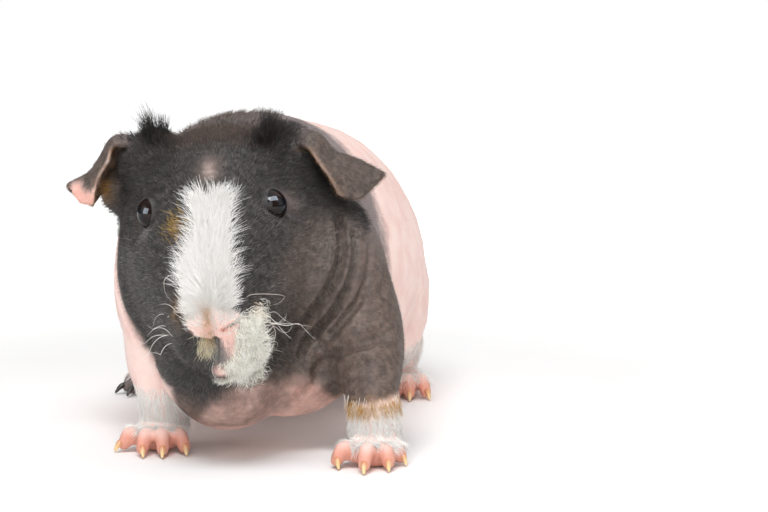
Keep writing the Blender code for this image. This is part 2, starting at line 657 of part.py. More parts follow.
def main():
    for obj in list(bpy.data.objects):
        bpy.data.objects.remove(obj)
    body = flesh(FINE_GRID, FLESH_TRIANGLES)
    parts = {}
    grown_body = grown(body, "grown", GAP)
    for side in ("left", "right"):
        parts["ear_" + side] = keep_largest(combined(ear(side, 3), "DIFFERENCE", copied(grown_body, "fit")))
    for name, place in FEET.items():
        for toe in range(len(place["toes"])):
            title = f"claw_{name}_{toe + 1}"
            parts[title] = keep_largest(combined(claw(title, place, toe), "DIFFERENCE",
                                                 copied(grown_body, "fit")))
    bpy.data.objects.remove(grown_body)
    far = 400
    combined(body, "DIFFERENCE", shape("ground", block, (-far, -far, -far), (far, far, 0)))
    for left, side in ((1, "left"), (-1, "right")):
        combined(body, "DIFFERENCE", shape("socket", mass, eye_centre(left), [EYE_RADIUS + GAP] * 3,
                                           segments=EYE_SEGMENTS))
        eye = shape("eye_" + side, mass, eye_centre(left), [EYE_RADIUS] * 3, segments=EYE_SEGMENTS)
        parts["eye_" + side] = keep_largest(eye)
    for name, kind in LEG_REGIONS.items():
        leg = part_off(body, kind, "leg_" + name)
        parts["leg_" + name] = leg
        level = WRIST if name.startswith("fore") else ANKLE
        parts["foot_" + name] = part_below(leg, level, "foot_" + name)
    parts["head"] = add_locks(part_off(body, HEAD_REGION, "head"))
    parts["neck"] = part_in_front(body, NECK_BACK, NECK_WAY, "neck")
    parts["torso"] = keep_largest(body)
    body.name = "torso"
    low = np.min([vertices(obj.data).min(0) for obj in parts.values()], axis=0)
    high = np.max([vertices(obj.data).max(0) for obj in parts.values()], axis=0)
    shift = -np.array([(low[0] + high[0]) / 2, (low[1] + high[1]) / 2, low[2]])
    finishes = {name: material(name, *look) for name, look in COLOURS.items()}
    for name, obj in parts.items():
        set_vertices(obj.data, vertices(obj.data) + shift)
        obj.data.materials.clear()
        obj.data.materials.append(finishes[name.split("_")[0]])
        obj.data.shade_smooth()
        obj.data.set_sharp_from_angle(angle=SHARP_EDGE)


main()
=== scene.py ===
"""A skinny pig, a nearly hairless guinea pig, standing at rest on a pale floor.

One fine skin, the coat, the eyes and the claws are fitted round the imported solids. Sizes are in
millimetres in the pig's own frame and are turned to metres, and moved to the solids' place, when a
piece is made. The pig faces -Y with its left side at +X.
"""

import math

import bmesh
import bpy
import numpy as np
from mathutils import Matrix, Vector
from mathutils.bvhtree import BVHTree
from mathutils.kdtree import KDTree


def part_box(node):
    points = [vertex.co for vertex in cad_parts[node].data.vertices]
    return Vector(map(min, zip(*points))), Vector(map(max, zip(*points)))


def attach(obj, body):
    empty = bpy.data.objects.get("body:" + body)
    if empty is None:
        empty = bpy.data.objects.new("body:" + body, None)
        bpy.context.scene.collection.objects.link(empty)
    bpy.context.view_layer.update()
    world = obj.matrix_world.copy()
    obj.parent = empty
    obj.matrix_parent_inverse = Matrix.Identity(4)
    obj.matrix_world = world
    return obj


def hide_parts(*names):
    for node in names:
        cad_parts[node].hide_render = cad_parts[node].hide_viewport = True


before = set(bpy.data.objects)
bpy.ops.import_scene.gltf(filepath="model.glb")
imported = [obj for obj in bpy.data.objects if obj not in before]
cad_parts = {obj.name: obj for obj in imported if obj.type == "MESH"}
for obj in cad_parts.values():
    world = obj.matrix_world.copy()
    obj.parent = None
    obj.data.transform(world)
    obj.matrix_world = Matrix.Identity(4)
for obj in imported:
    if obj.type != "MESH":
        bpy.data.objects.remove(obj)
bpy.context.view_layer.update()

MM = 0.001
BODY_GRID, SKIN_GRID = ((0.8, 0.55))
SKIN_TRIANGLES = 190000
# How far the flesh and then the skin are smoothed, as rounds on a grid of one millimetre.
FLESH_SMOOTHING, SKIN_SMOOTHING = 95, 2.2
HAIR_SHARE = 1.0

# The head: where its nose tip is and how it is turned.
NOSE = np.array([-1.5, -70.0, 54.0])
HEAD_PITCH = math.radians(-22)
HEAD_YAW = math.radians(6)
HEAD_ROLL = math.radians(4)
HEAD_TURN = np.array(Matrix.Rotation(HEAD_YAW, 3, "Z") @ Matrix.Rotation(-HEAD_PITCH, 3, "X")
                     @ Matrix.Rotation(-HEAD_ROLL, 3, "Y"))
# Sections of the head: distance behind the nose, top, bottom, half width, height of the widest point.
HEAD_PROFILE = [
    (0.3, 3.5, -6, 7.5, -1),
    (2.5, 8.5, -15, 11.5, -5),
    (6.5, 12.5, -20, 14.5, -8),
    (13, 16.5, -25, 17.5, -9),
    (21, 20, -29, 21, -9),
    (31, 24, -33, 25.5, -8),
    (43, 28, -37, 30.5, -6),
    (55, 30.5, -40, 34, -5),
    (68, 31.5, -41, 36, -4),
    (82, 29, -39, 36, -4),
    (94, 22, -32, 30, -4),
    (102, 10, -18, 17, -4),
]

# Sections of the trunk: place along the body, sideways drift, bottom, top, half width, share of the
# height where it is widest.
TRUNK_PROFILE = [
    (-24, -6, 34, 86, 24, 0.45),
    (-12, -6, 18, 107, 38, 0.45),
    (6, -6, 12, 118, 46, 0.43),
    (28, -2, 11, 122, 50, 0.42),
    (52, 1, 10.5, 119.5, 52, 0.41),
    (80, 2, 10, 117.5, 54, 0.40),
    (108, 3, 9.5, 114, 55, 0.40),
    (132, 3, 10, 105, 52, 0.40),
    (152, 3, 13, 88, 43, 0.42),
    (166, 3, 21, 70, 28, 0.45),
    (173, 3, 33, 54, 12, 0.5),
]

# The eyes, in head terms (back, outwards, up): the front of the left and the right eye, where they look,
# and how deep their middles lie. The lids' openings are measured along the eyeball: half their width and
# height, how far they are moved towards the nose, and how they slant.
EYE_PLACES = {1: np.array([53.0, 23.0, 17.0]), -1: np.array([54.0, 27.0, 16.5])}
EYE_GAZE = np.array([-0.50, 0.83, 0.25])
EYE_SINK = 5.67
EYE_RADIUS = 6.5
EYE_OPENING = {1: (6.0, 7.2), -1: (6.0, 6.2)}
EYE_FORWARD = {1: 1.1, -1: -0.5}
EYE_SLANT = {1: 0.3, -1: 0.0}
LID_RADIUS = 6.85


def spline(rows, steps):
    """Rows of numbers, resampled along a smooth curve through them, `steps` to each span."""
    rows = np.asarray(rows, float)
    padded = np.vstack([2 * rows[0] - rows[1], rows, 2 * rows[-1] - rows[-2]])
    t = np.linspace(0, 1, steps, endpoint=False)[:, None]
    spans = []
    for a, b, c, d in zip(padded, padded[1:], padded[2:], padded[3:]):
        spans.append(0.5 * (2 * b + (c - a) * t + (2 * a - 5 * b + 4 * c - d) * t**2
                            + (3 * b - a - 3 * c + d) * t**3))
    return np.vstack(spans + [rows[-1:]])


def unit(vector):
    return np.asarray(vector, float) / np.linalg.norm(vector)


def head_way(back, side, up):
    """A direction in head terms, turned to the world."""
    return HEAD_TURN @ np.array([side, back, up], float)


def head_point(back, side, up):
    """A point of the head: back from the nose, to the pig's left, and up, in world millimetres."""
    return NOSE + head_way(back, side, up)


def head_path(rows, left=1):
    return np.array([head_point(back, side * left, up) for back, side, up in rows])


def egg(half_width, low, high, widest, peak=0.92):
    """An egg-shaped section as (side, up) rows. A peak over 1 narrows its upper half."""
    angle = np.linspace(0, 2 * math.pi, SECTION_SIDES, endpoint=False)
    c, s = np.cos(angle), np.sin(angle)
    side = half_width * np.sign(c) * np.abs(c) ** np.where(s < 0, 1.0, peak)
    up = widest + np.where(s >= 0, (high - widest), (widest - low)) * s
    return np.stack([side, up], 1)


def loft(bm, rings):
    """Closed rings of points joined one to the next, with both ends capped."""
    made = [[bm.verts.new(Vector(p) * MM) for p in ring] for ring in rings]
    for a, b in zip(made, made[1:]):
        for i in range(len(a)):
            j = (i + 1) % len(a)
            bm.faces.new((a[i], a[j], b[j], b[i]))
    bm.faces.new(made[0][::-1])
    bm.faces.new(made[-1])


def mass(bm, centre, radii, turn=np.eye(3)):
    """A rounded mass."""
    place = Matrix.Translation(Vector(centre) * MM) @ Matrix(turn.tolist()).to_4x4()
    bmesh.ops.create_uvsphere(bm, u_segments=MASS_SEGMENTS, v_segments=MASS_SEGMENTS * 5 // 8, radius=1.0,
                              matrix=place @ Matrix.Diagonal([r * MM for r in radii] + [1]))


def limb(bm, rows, steps=6, sides=20):
    """A tube through rows of (x, y, z, half width, half depth) with rounded ends."""
    rows = spline(rows, steps)
    path, widths, depths = rows[:, :3], rows[:, 3], rows[:, 4]
    tangents = np.gradient(path, axis=0)
    tangents /= np.linalg.norm(tangents, axis=1)[:, None]
    angle = np.linspace(0, 2 * math.pi, sides, endpoint=False)
    caps = np.sin(np.linspace(0.12, 1, LIMB_ROUNDING + 1)[:-1] * math.pi / 2)
    stations = [(0, c) for c in caps] + [(i, 1.0) for i in range(len(path))]
    stations += [(len(path) - 1, c) for c in caps[::-1]]
    rings = []
    for n, (i, share) in enumerate(stations):
        t = tangents[i]
        across = unit(np.cross(np.cross(t, (1, 0, 0)), t))
        normal = np.cross(t, across)
        reach = math.sqrt(max(0.0, 1 - share**2)) * min(widths[i], depths[i])
        centre = path[i] + t * reach * (-1 if n < len(caps) else 1)
        rings.append(centre + share * (np.outer(np.cos(angle) * widths[i], across)
                                       + np.outer(np.sin(angle) * depths[i], normal)))
    loft(bm, rings)


def in_scene(name, data):
    """A new object of the scene with this mesh, lamp or camera."""
    obj = bpy.data.objects.new(name, data)
    bpy.context.scene.collection.objects.link(obj)
    return obj


def new_object(name, bm):
    mesh = bpy.data.meshes.new(name)
    bmesh.ops.recalc_face_normals(bm, faces=bm.faces)
    bm.to_mesh(mesh)
    bm.free()
    return in_scene(name, mesh)


def shape(name, make, *sizes, **more):
    """A new object from one of the shape functions above."""
    bm = bmesh.new()
    make(bm, *sizes, **more)
    return new_object(name, bm)


def applied(obj):
    """The object with its modifiers applied."""
    graph = bpy.context.evaluated_depsgraph_get()
    mesh = bpy.data.meshes.new_from_object(obj.evaluated_get(graph))
    obj.modifiers.clear()
    old, obj.data = obj.data, mesh
    bpy.data.meshes.remove(old)
    return obj


# The legs, each as rows of x, y, z, half width, half depth, from the body down to the wrist.
LEFT_ARM = [(33, 14, 62, 17, 25), (40, -2, 46, 17, 22), (45, -17, 36, 14.5, 15), (48, -28, 26, 10.5, 10.5),
            (49.5, -30.5, 18, 9.3, 9), (49.5, -30, 10, 8.8, 8)]
RIGHT_ARM = [(-31, 18, 60, 17, 24), (-33, 6, 44, 15, 21), (-33.5, -4, 31, 12, 14), (-31, -9, 23, 9.7, 10),
             (-30, -9, 16, 8.8, 9), (-30.5, -7, 9.5, 8.5, 8)]
LEFT_SHANK = [(38, 124, 36, 17, 22), (42, 136, 20, 13, 17), (42.5, 145, 9, 8.5, 10)]
RIGHT_SHANK = [(-36, 122, 36, 17, 22), (-44, 134, 20, 13, 17), (-44, 144, 9, 8.5, 10)]
# Each foot: its root, its ball, the tips of its toes from the inner one outwards, and its claws' tips.
FEET = {
    "fore_left": {"root": (49.5, -31, 8.4), "ball": (49.5, -38, 4.8),
                  "toes": [(37, -42), (47.5, -49.5), (55.5, -44.5), (59, -34)],
                  "claws": [(38.2, -46.5), (47.8, -54.5), (56, -49), (61.2, -37.6)]},
    "fore_right": {"root": (-30.5, -8, 8.4), "ball": (-32, -16, 4.8),
                   "toes": [(-20.5, -22.5), (-27.5, -27.5), (-35, -27.5), (-43.5, -18.5)],
                   "claws": [(-19, -26.8), (-26.8, -32.3), (-33.8, -32.3), (-46.3, -21.8)]},
    "hind_left": {"root": (42, 148, 7.2), "ball": (49, 116, 4.8),
                  "toes": [(46.5, 103), (52, 99.5), (58.5, 103)],
                  "claws": [(46.5, 97.5), (52.5, 94), (60.5, 98)]},
    "hind_right": {"root": (-43, 146, 7.2), "ball": (-56, 115, 4.8),
                   "toes": [(-57, 101.5), (-63.5, 100.5), (-68, 106)],
                   "claws": [(-58, 96), (-66, 95.5), (-72.5, 102.5)]},
}
TOE_HEIGHT = 2.7
SECTION_SIDES, MASS_SEGMENTS, LIMB_ROUNDING = 48, 32, 4


def foot(bm, name, place):
    """A foot: its sole and its arched toes."""
    root, ball = np.array(place["root"]), np.array(place["ball"])
    if name.startswith("fore"):
        limb(bm, [(*root, 8.2, 7.5), (*((root + ball) / 2 + (0, 0, -0.3)), 8.8, 6.4), (*ball, 9.4, 5.0)])
    else:
        limb(bm, [(*root, 6.5, 8), (*((root + ball) / 2), 6.8, 6.6), (*ball, 8.2, 5.2)])
    for x, y in place["toes"]:
        tip = np.array([x, y, TOE_HEIGHT])
        toe_root = ball + 0.33 * (tip - ball) * (1, 1, 0) + (0, 0, 0.5)
        toe_root[0] = ball[0] + 0.6 * (x - ball[0])
        knuckle = 0.45 * toe_root + 0.55 * tip + (0, 0, 3.0)
        limb(bm, [(*toe_root, 3.5, 3.6), (*knuckle, 2.9, 3.1), (*tip, 2.5, 2.9)], steps=4, sides=14)


def masses(bm):
    """All the rounded forms of the body, still overlapping."""
    rings = []
    for back, high, low, half_width, widest in spline(HEAD_PROFILE, 5):
        section = egg(half_width, low, high, widest, peak=1.22)
        rings.append([head_point(back, side, up) for side, up in section])
    loft(bm, rings)
    rings = []
    for along, drift, low, high, half_width, share in spline(TRUNK_PROFILE, 5):
        section = egg(half_width, low, high, low + share * (high - low))
        rings.append([(drift + side, along, up) for side, up in section])
    loft(bm, rings)
    for left in (1, -1):
        mass(bm, head_point(58, 13 * left, -12), (21.5, 29, 27), HEAD_TURN)       # cheek
        mass(bm, head_point(9.5, 6.3 * left, -11.5), (9.2, 9, 9.6), HEAD_TURN)    # whisker pad
        mass(bm, eye_centre(left), (8.2, 8.2, 8.2))                               # brow and socket
        mass(bm, head_point(84, 24 * left, 22), (13, 13, 12), HEAD_TURN)          # ear root
        mass(bm, head_point(74, 21 * left, 4), (12, 20, 19), HEAD_TURN)           # side of the head
        mass(bm, (3 + 34 * left, 121, 41), (22, 38, 34))                          # thigh
    mass(bm, head_point(90, -36, 9), (11, 10, 10), HEAD_TURN)                     # behind the right ear
    mass(bm, head_point(4.4, 0, 0.0), (11, 5.4, 5.8), HEAD_TURN)                  # nose pad
    mass(bm, head_point(14.5, 0, -21), (8.5, 10, 7), HEAD_TURN)                   # chin
    mass(bm, (-6, 2, 68), (42, 35, 48))                                           # neck
    mass(bm, (-5, -15, 40), (27, 34, 31.5))                                       # throat
    mass(bm, (14, -4, 31), (26, 25, 19.5))                                        # chest
    mass(bm, (28, 6, 60), (23, 32, 32))                                           # left shoulder
    mass(bm, (-28, 12, 56), (18, 30, 32))                                         # right shoulder
    for rows in (LEFT_ARM, RIGHT_ARM, LEFT_SHANK, RIGHT_SHANK):
        limb(bm, rows)
    for name, place in FEET.items():
        foot(bm, name, place)


def eye_centre(left):
    middle = EYE_PLACES[left] - EYE_SINK * unit(EYE_GAZE)
    return head_point(middle[0], middle[1] * left, middle[2])


def eye_ways(left):
    """The eye's own directions: towards what it looks at, to its nose-side corner, and up."""
    gaze = unit(head_way(EYE_GAZE[0], EYE_GAZE[1] * left, EYE_GAZE[2]))
    corner = head_way(-1, -0.25 * left, -0.12)
    corner = unit(corner - gaze * (corner @ gaze))
    return gaze, corner, np.cross(corner, gaze) * left


def eye_terms(points, left):
    """Points seen from an eye's middle: their way, their distance, how high they are, how far to the nose's
    side, and how far out, which is 1 on the edge of the opening."""
    gaze, corner, up = eye_ways(left)
    away = points - eye_centre(left)
    reach = np.linalg.norm(away, axis=1)
    across, along, rise = away @ corner, away @ gaze, away @ up
    arc = EYE_RADIUS * np.arccos(np.clip(along / reach, -1, 1)) / np.maximum(np.hypot(across, rise), 1e-6)
    wide, high = EYE_OPENING[left]
    forward = arc * (across + EYE_SLANT[left] * rise) - EYE_FORWARD[left]
    out = np.hypot(forward / wide, arc * rise / high)
    return away, reach, rise, across, out


def vertices(mesh):
    points = np.empty(len(mesh.vertices) * 3)
    mesh.vertices.foreach_get("co", points)
    return points.reshape(-1, 3) / MM


def set_vertices(mesh, points):
    mesh.vertices.foreach_set("co", (points * MM).ravel())
    mesh.update()


def vertex_normals(mesh):
    normals = np.empty(len(mesh.vertices) * 3)
    mesh.vertex_normals.foreach_get("vector", normals)
    return normals.reshape(-1, 3)


def weighted(obj, name, weights):
    """A vertex group with a weight for each vertex."""
    group = obj.vertex_groups.new(name=name)
    levels = np.round(np.clip(weights, 0, 1) * 20).astype(int)
    for level in np.unique(levels):
        group.add(np.flatnonzero(levels == level).tolist(), level / 20, "REPLACE")
    return group.name


def nearness(points, path, width):
    """How near each point is to a path, from 1 on it to 0 at a width away."""
    best = np.full(len(points), np.inf)
    for a, b in zip(path, path[1:]):
        span = b - a
        t = np.clip((points - a) @ span / (span @ span + 1e-9), 0, 1)
        best = np.minimum(best, np.linalg.norm(points - a - t[:, None] * span, axis=1))
    return np.clip(1 - (best / width) ** 2, 0, 1) ** 2


def stroke(points, normals, path, width, depth, lip):
    """Presses a crease into the skin along a path, with the skin on both sides a little raised."""
    path = spline(path, 4)
    path = np.array([points[np.argmin(((points - p) ** 2).sum(1))] for p in path])
    crease = nearness(points, path, width)
    swell = np.clip(nearness(points, path, 2.6 * width) - crease, 0, 1)
    points -= normals * (depth * (crease - lip * swell))[:, None]


# The ears, each as five ribs in head terms, from the front rim over the crest that the ear hangs from
# to the back rim. Each rib runs from inside the head to the free edge.
EARS = {
    "right": [
        [(84, -26, 28), (78.5, -36.5, 32.5), (72.5, -39, 29), (67.5, -43, 24), (65.5, -45.5, 15.5)],
        [(86, -25, 28), (82.5, -37, 32.5), (77, -41, 28.5), (72, -46, 23.5), (69.5, -50.8, 15)],
        [(89, -24, 27), (87.5, -37, 31.9), (83.5, -44, 25), (80, -47.5, 21.7), (76, -55.3, 19.2)],
        [(92, -24, 24), (93, -37, 25.5), (91, -43.5, 20), (87, -47, 16.5), (81, -55.7, 13.8)],
        [(89, -24, 18), (91.5, -34, 17), (90, -39.5, 13.5), (86, -44, 11), (77.5, -47.5, 9)],
    ],
    "left": [
        [(80, 22, 27), (73.5, 32, 29.5), (68, 36.5, 25.5), (64.5, 40.5, 20), (63, 43, 14.3)],
        [(83, 22, 28), (78, 34, 30.5), (73, 39.5, 25.5), (69.5, 46, 19), (66.5, 51.5, 11.1)],
        [(86, 21, 27), (84.5, 35, 30), (82, 42.5, 22.9), (80, 50.5, 19.9), (76, 59.9, 15.4)],
        [(90, 21, 24), (90.5, 32, 23.5), (89, 39, 16), (86, 47, 11.5), (80, 56.5, 9.1)],
        [(88, 21, 18), (89, 30, 17.5), (88, 36, 11.5), (83.5, 42.5, 7.5), (74.5, 47, 6.5)],
    ],
}
# The roots of the right and the left ear.
EAR_PLACES = ((85, -29, 27), (84, 29, 27))


def sheet(bm, grid, thickness):
    """A thin closed sheet on a grid of points, split into triangles alike on both faces."""
    normals = np.cross(np.gradient(grid, axis=0), np.gradient(grid, axis=1))
    half = normals / np.linalg.norm(normals, axis=2)[:, :, None] * thickness[:, :, None] / 2
    front = [[bm.verts.new(Vector(p) * MM) for p in row] for row in grid + half]
    back = [[bm.verts.new(Vector(p) * MM) for p in row] for row in grid - half]
    rows, cols = len(front), len(front[0])
    for i in range(rows - 1):
        for j in range(cols - 1):
            for face in (front, back):
                a, b, c, d = face[i][j], face[i + 1][j], face[i + 1][j + 1], face[i][j + 1]
                bm.faces.new((a, b, c))
                bm.faces.new((a, c, d))
    rim = [(i, 0) for i in range(rows)] + [(rows - 1, j) for j in range(1, cols)]
    rim += [(i, cols - 1) for i in range(rows - 2, -1, -1)] + [(0, j) for j in range(cols - 2, 0, -1)]
    for (i, j), (k, m) in zip(rim, rim[1:] + rim[:1]):
        bm.faces.new((front[i][j], back[i][j], back[k][m], front[k][m]))


STAINED_HAIR = (0.50, 0.27, 0.06)
HAIR_SIDES, HAIR_SINK, HAIR_SCATTER, PATCH_SIZE, HEAD_FUZZ_PIECES = 3, 0.4, 0.12, 0.003, 3
EYE_RINGS, EYE_SIDES = 26, 40
CORNEA_RISE = 0.25
CLAW_RADII = (1.3, 1.15, 0.45)
CLAW_STEPS, CLAW_SIDES = 7, 12
# The brushes of black hair before the ears: the middle of each, back and to the left.
TUFTS = ((83.0, -22.5), (79.5, 18.5))
TUFT_HAIRS, TUFT_LOCKS, TUFT_STEPS, TUFT_WIDTH = 760, 17, 6, 0.19
WHISKER_STEPS, WHISKER_SIDES, WHISKER_WIDTH, WHISKER_CLEAR, MORE_WHISKERS = 20, 5, 0.18, 1.6, 12
# Whiskers and long curled hairs as pixels of the photo, which is 768 by 512, from root to tip.
PHOTO_WHISKERS = [
    [(252, 318), (261, 314), (274, 327), (274, 342), (263, 369), (254, 380), (243, 380)],
    [(246, 300), (250, 295), (267, 294), (284, 296), (279, 303), (268, 306)],
    [(262, 326), (278, 324), (295, 324), (312, 327)],
    [(262, 352), (268, 350), (275, 350), (283, 352)],
    [(180, 279), (172, 275), (165, 279), (164, 286), (166, 294), (172, 302)],
    [(176, 312), (172, 307), (166, 304), (159, 305)],
    [(250, 326), (262, 330), (268, 340), (264, 352), (252, 356), (246, 348)],
    [(244, 312), (254, 306), (262, 310), (264, 320), (256, 328)],
    [(228, 362), (226, 372), (232, 380), (240, 381)],
    [(214, 360), (212, 370), (216, 378), (224, 379)],
]

# The camera, as measured from the photo: its place in the pig's own frame, its lens and how it is turned.
PHOTO_WIDE, PHOTO_HIGH = 768, 512
FOCAL_PIXELS = 2184.5
CAMERA = np.array([119.4, -792.5, 155.0])
CAMERA_PAN, CAMERA_TILT = math.radians(5), math.radians(6.06)
CAMERA_FORWARD = np.array([-math.sin(CAMERA_PAN) * math.cos(CAMERA_TILT),
                           math.cos(CAMERA_PAN) * math.cos(CAMERA_TILT), -math.sin(CAMERA_TILT)])
CAMERA_RIGHT = np.array([math.cos(CAMERA_PAN), math.sin(CAMERA_PAN), 0])
CAMERA_UP = np.cross(CAMERA_RIGHT, CAMERA_FORWARD)
FLOOR_RADIUS, FLOOR_SIDES, FLOOR_DROP = 6.0, 96, 0.0002
ROOM_LIGHT, KEY_POWER, TOP_POWER, FILL_POWER, FRONT_POWER, EYE_LIGHT = 0.22, 9.5, 8.8, 2.1, 4.4 * 2.1, 30.0
BLUE_WHITE = (0.75, 0.87, 1)
LIGHT_TARGET = (0.0, -0.02, 0.05)


# Creases pressed into the skin of the face, in head terms: path, width, depth, raised lips, and if the
# other side has one too.
NOSTRILS = ([(-0.2, 3.1, -1.7), (0.6, 5.5, -0.7), (2.8, 8.2, 0.3)],
            [(1.9, -7.2, -2.6), (2.2, -8.6, -1.7), (2.7, -9.8, -0.8)])
FACE_CREASES = [
    (NOSTRILS[0], 1.0, 1.9, 0.1, False),
    (NOSTRILS[1], 1.0, 1.7, 0.1, False),
    ([(3.0, 9.0, 0.4), (5.5, 10.2, 2.2)], 1.4, 0.5, 0.1, True),                   # wing of the nose
    ([(0.8, 0, -5.5), (1.2, 0, -10), (2.5, 0, -17)], 1.5, 1.5, 0.25, False),      # cleft of the lip
    ([(3.5, 0, -18.5), (5.5, 5, -20.5), (11, 10, -19.5), (18, 14, -17)],          # mouth line
     1.6, 0.8, 0.2, True),
    ([(-0.4, 0, 2.4), (-0.3, 0, -1.5), (0.4, 0, -4.6)], 1.1, 0.3, 0.2, False),    # line down the nose
]
# Folds of the neck, the throat, the arm's root and the flanks, in world terms: path, width, depth and
# raised lips.
BODY_FOLDS = [
    ([(33.8, -9.4, 86.3), (36.5, -18, 76.3), (35.5, -22.4, 67.8), (31.1, -24.8, 59), (23.8, -24.1, 49.9),
      (18, -28, 42)], 3.0, 2.5, 0.4),                                             # edge of the cheek
    ([(40, -12, 80), (40, -16, 72), (38.5, -20, 64), (34, -22.5, 54), (27, -22.5, 45), (21, -25, 38)],
     2.8, 2.1, 0.4),
    ([(45, -8, 74), (44, -15, 62), (40, -20, 53), (34, -22, 45)], 2.8, 1.6, 0.4),
    ([(27, -21, 31), (29.6, -21.8, 33), (34.8, -26.3, 37.3), (40.5, -29, 41), (46, -28.6, 43.2),
      (51, -25, 44.5)], 4.6, 2.4, 0.35),                                          # over the arm
    ([(22, -25, 24), (29, -23, 28), (38, -30, 33), (46, -31, 36)], 3.2, 1.2, 0.35),
    ([(46, 14, 78), (47, 2, 66), (46, -10, 56)], 3.2, 0.8, 0.35),
    ([(-38, 8, 80), (-38, 2, 62), (-32, -8, 42)], 3.2, 1.4, 0.3),
    ([(-31, 15, 106), (-23, 13, 114), (-14, 8, 117), (-5, 6.5, 117.5), (4, 7.5, 117), (12, 9.5, 115),
      (21, 10, 109)], 5.0, 2.6, 0.3),                                             # behind the crown
    ([(-32, 24, 106), (-8, 21, 121), (18, 22, 121), (38, 24, 108)], 3.0, 0.9, 0.4),
    ([(50, 84, 58), (54, 92, 44), (52, 96, 30)], 3.4, 1.0, 0.35),
    ([(-46, 84, 58), (-49, 92, 44), (-47, 96, 30)], 3.4, 1.0, 0.35),
]
LID_ROLL, LID_FOLD, OPENING_DEPTH = 0.12, 0.6, 1.6
# How thick an ear is at its edge and its root, and how far from its middle sheet its skin reaches.
EAR_EDGE, EAR_ROOT, EAR_REACH = 1.15, 3.6, 2.6


def smooth(value, low, high):
    """0 below low, 1 above high, with a soft step between."""
    t = np.clip((value - low) / (high - low), 0, 1)
    return t * t * (3 - 2 * t)


def bump(value, middle, width):
    return np.exp(-((value - middle) / width) ** 2)


def head_terms(points):
    """World points as rows of back, side, up from the nose."""
    side, back, up = ((points - NOSE) @ HEAD_TURN).T
    return np.stack([back, side, up], 1)


def lids(points, left):
    """Presses the skin back over the eye's opening and draws the lids round it."""
    away, reach, rise, across, out = eye_terms(points, left)
    blend = smooth(out, 1.15, 2.0)
    rim = LID_RADIUS + LID_ROLL * bump(out, 1.1, 0.07)
    rim -= LID_FOLD * bump(out, 1.36, 0.07) * smooth(rise, -1, 3)
    opening = smooth(out, 0.95, 1.04)
    wanted = (EYE_RADIUS - OPENING_DEPTH) * (1 - opening) + (rim * (1 - blend) + reach * blend) * opening
    near = (out < 2.0) & (reach < 15)
    points[near] += away[near] * (wanted[near] / reach[near] - 1)[:, None]


def remeshed(obj, grid):
    remesh = obj.modifiers.new("one skin", "REMESH")
    remesh.mode, remesh.voxel_size = "VOXEL", grid * MM
    return applied(obj)


def smoothed(obj, weights, rounds):
    modifier = obj.modifiers.new("supple skin", "SMOOTH")
    modifier.factor, modifier.iterations = 0.5, rounds
    modifier.vertex_group = weighted(obj, "supple", weights)
    applied(obj)
    obj.vertex_groups.clear()


def distance(points, *places):
    """How far each point is from the nearest of some places."""
    return np.min([np.linalg.norm(points - place, axis=1) for place in places], axis=0)


def eye_distance(points):
    return distance(points, eye_centre(1), eye_centre(-1))


def flesh():
    """The whole body as one smooth closed form."""
    obj = remeshed(shape("skin", masses), BODY_GRID)
    points = vertices(obj.data)
    body = np.clip((points[:, 2] - 9) / 14, 0.08, 1)
    muzzle = distance(points, head_point(6, 0, -8))
    supple = body * np.clip((muzzle - 15) / 26, 0.1, 1) * np.clip((eye_distance(points) - 4) / 14, 0.2, 1)
    smoothed(obj, supple, round(FLESH_SMOOTHING / BODY_GRID**2))
    return obj


def ear_grid(side, steps):
    """The middle sheet of an ear as a grid of points: down the ear, then across it."""
    ribs = [spline([head_point(*p) for p in rib], steps) for rib in EARS[side]]
    return np.stack([spline([rib[n] for rib in ribs], steps - 1) for n in range(len(ribs[0]))])


def ear_sheet(bm, side):
    grid = ear_grid(side, 9)
    down = np.linspace(0, 1, len(grid))[:, None] * np.ones(grid.shape[:2])
    thickness = EAR_EDGE + (EAR_ROOT - EAR_EDGE) * np.clip(1 - down / 0.5, 0, 1) ** 2
    sheet(bm, grid, thickness)


def pressed(points, normals):
    """The finer forms of the face, the folds of the body and the lids."""
    for path, width, depth, lip, paired in FACE_CREASES:
        for left in (1, -1)[:1 + paired]:
            stroke(points, normals, head_path(path, left), width, depth, lip)
    for path, *size in BODY_FOLDS:
        stroke(points, normals, np.array(path, float), *size)
    for left in (1, -1):
        lids(points, left)
    return points


def refined(obj):
    """Splits the faces round the eyes and on the nose, for the lids and the nostrils."""
    bm = bmesh.new()
    bm.from_mesh(obj.data)
    points = vertices(obj.data)
    near = (eye_distance(points) < 10.5) | (distance(points, head_point(1.5, 0, -2)) < 11.5)
    edges = [edge for edge in bm.edges if near[edge.verts[0].index] and near[edge.verts[1].index]]
    bmesh.ops.subdivide_edges(bm, edges=edges, cuts=1, use_grid_fill=True)
    bm.to_mesh(obj.data)
    bm.free()


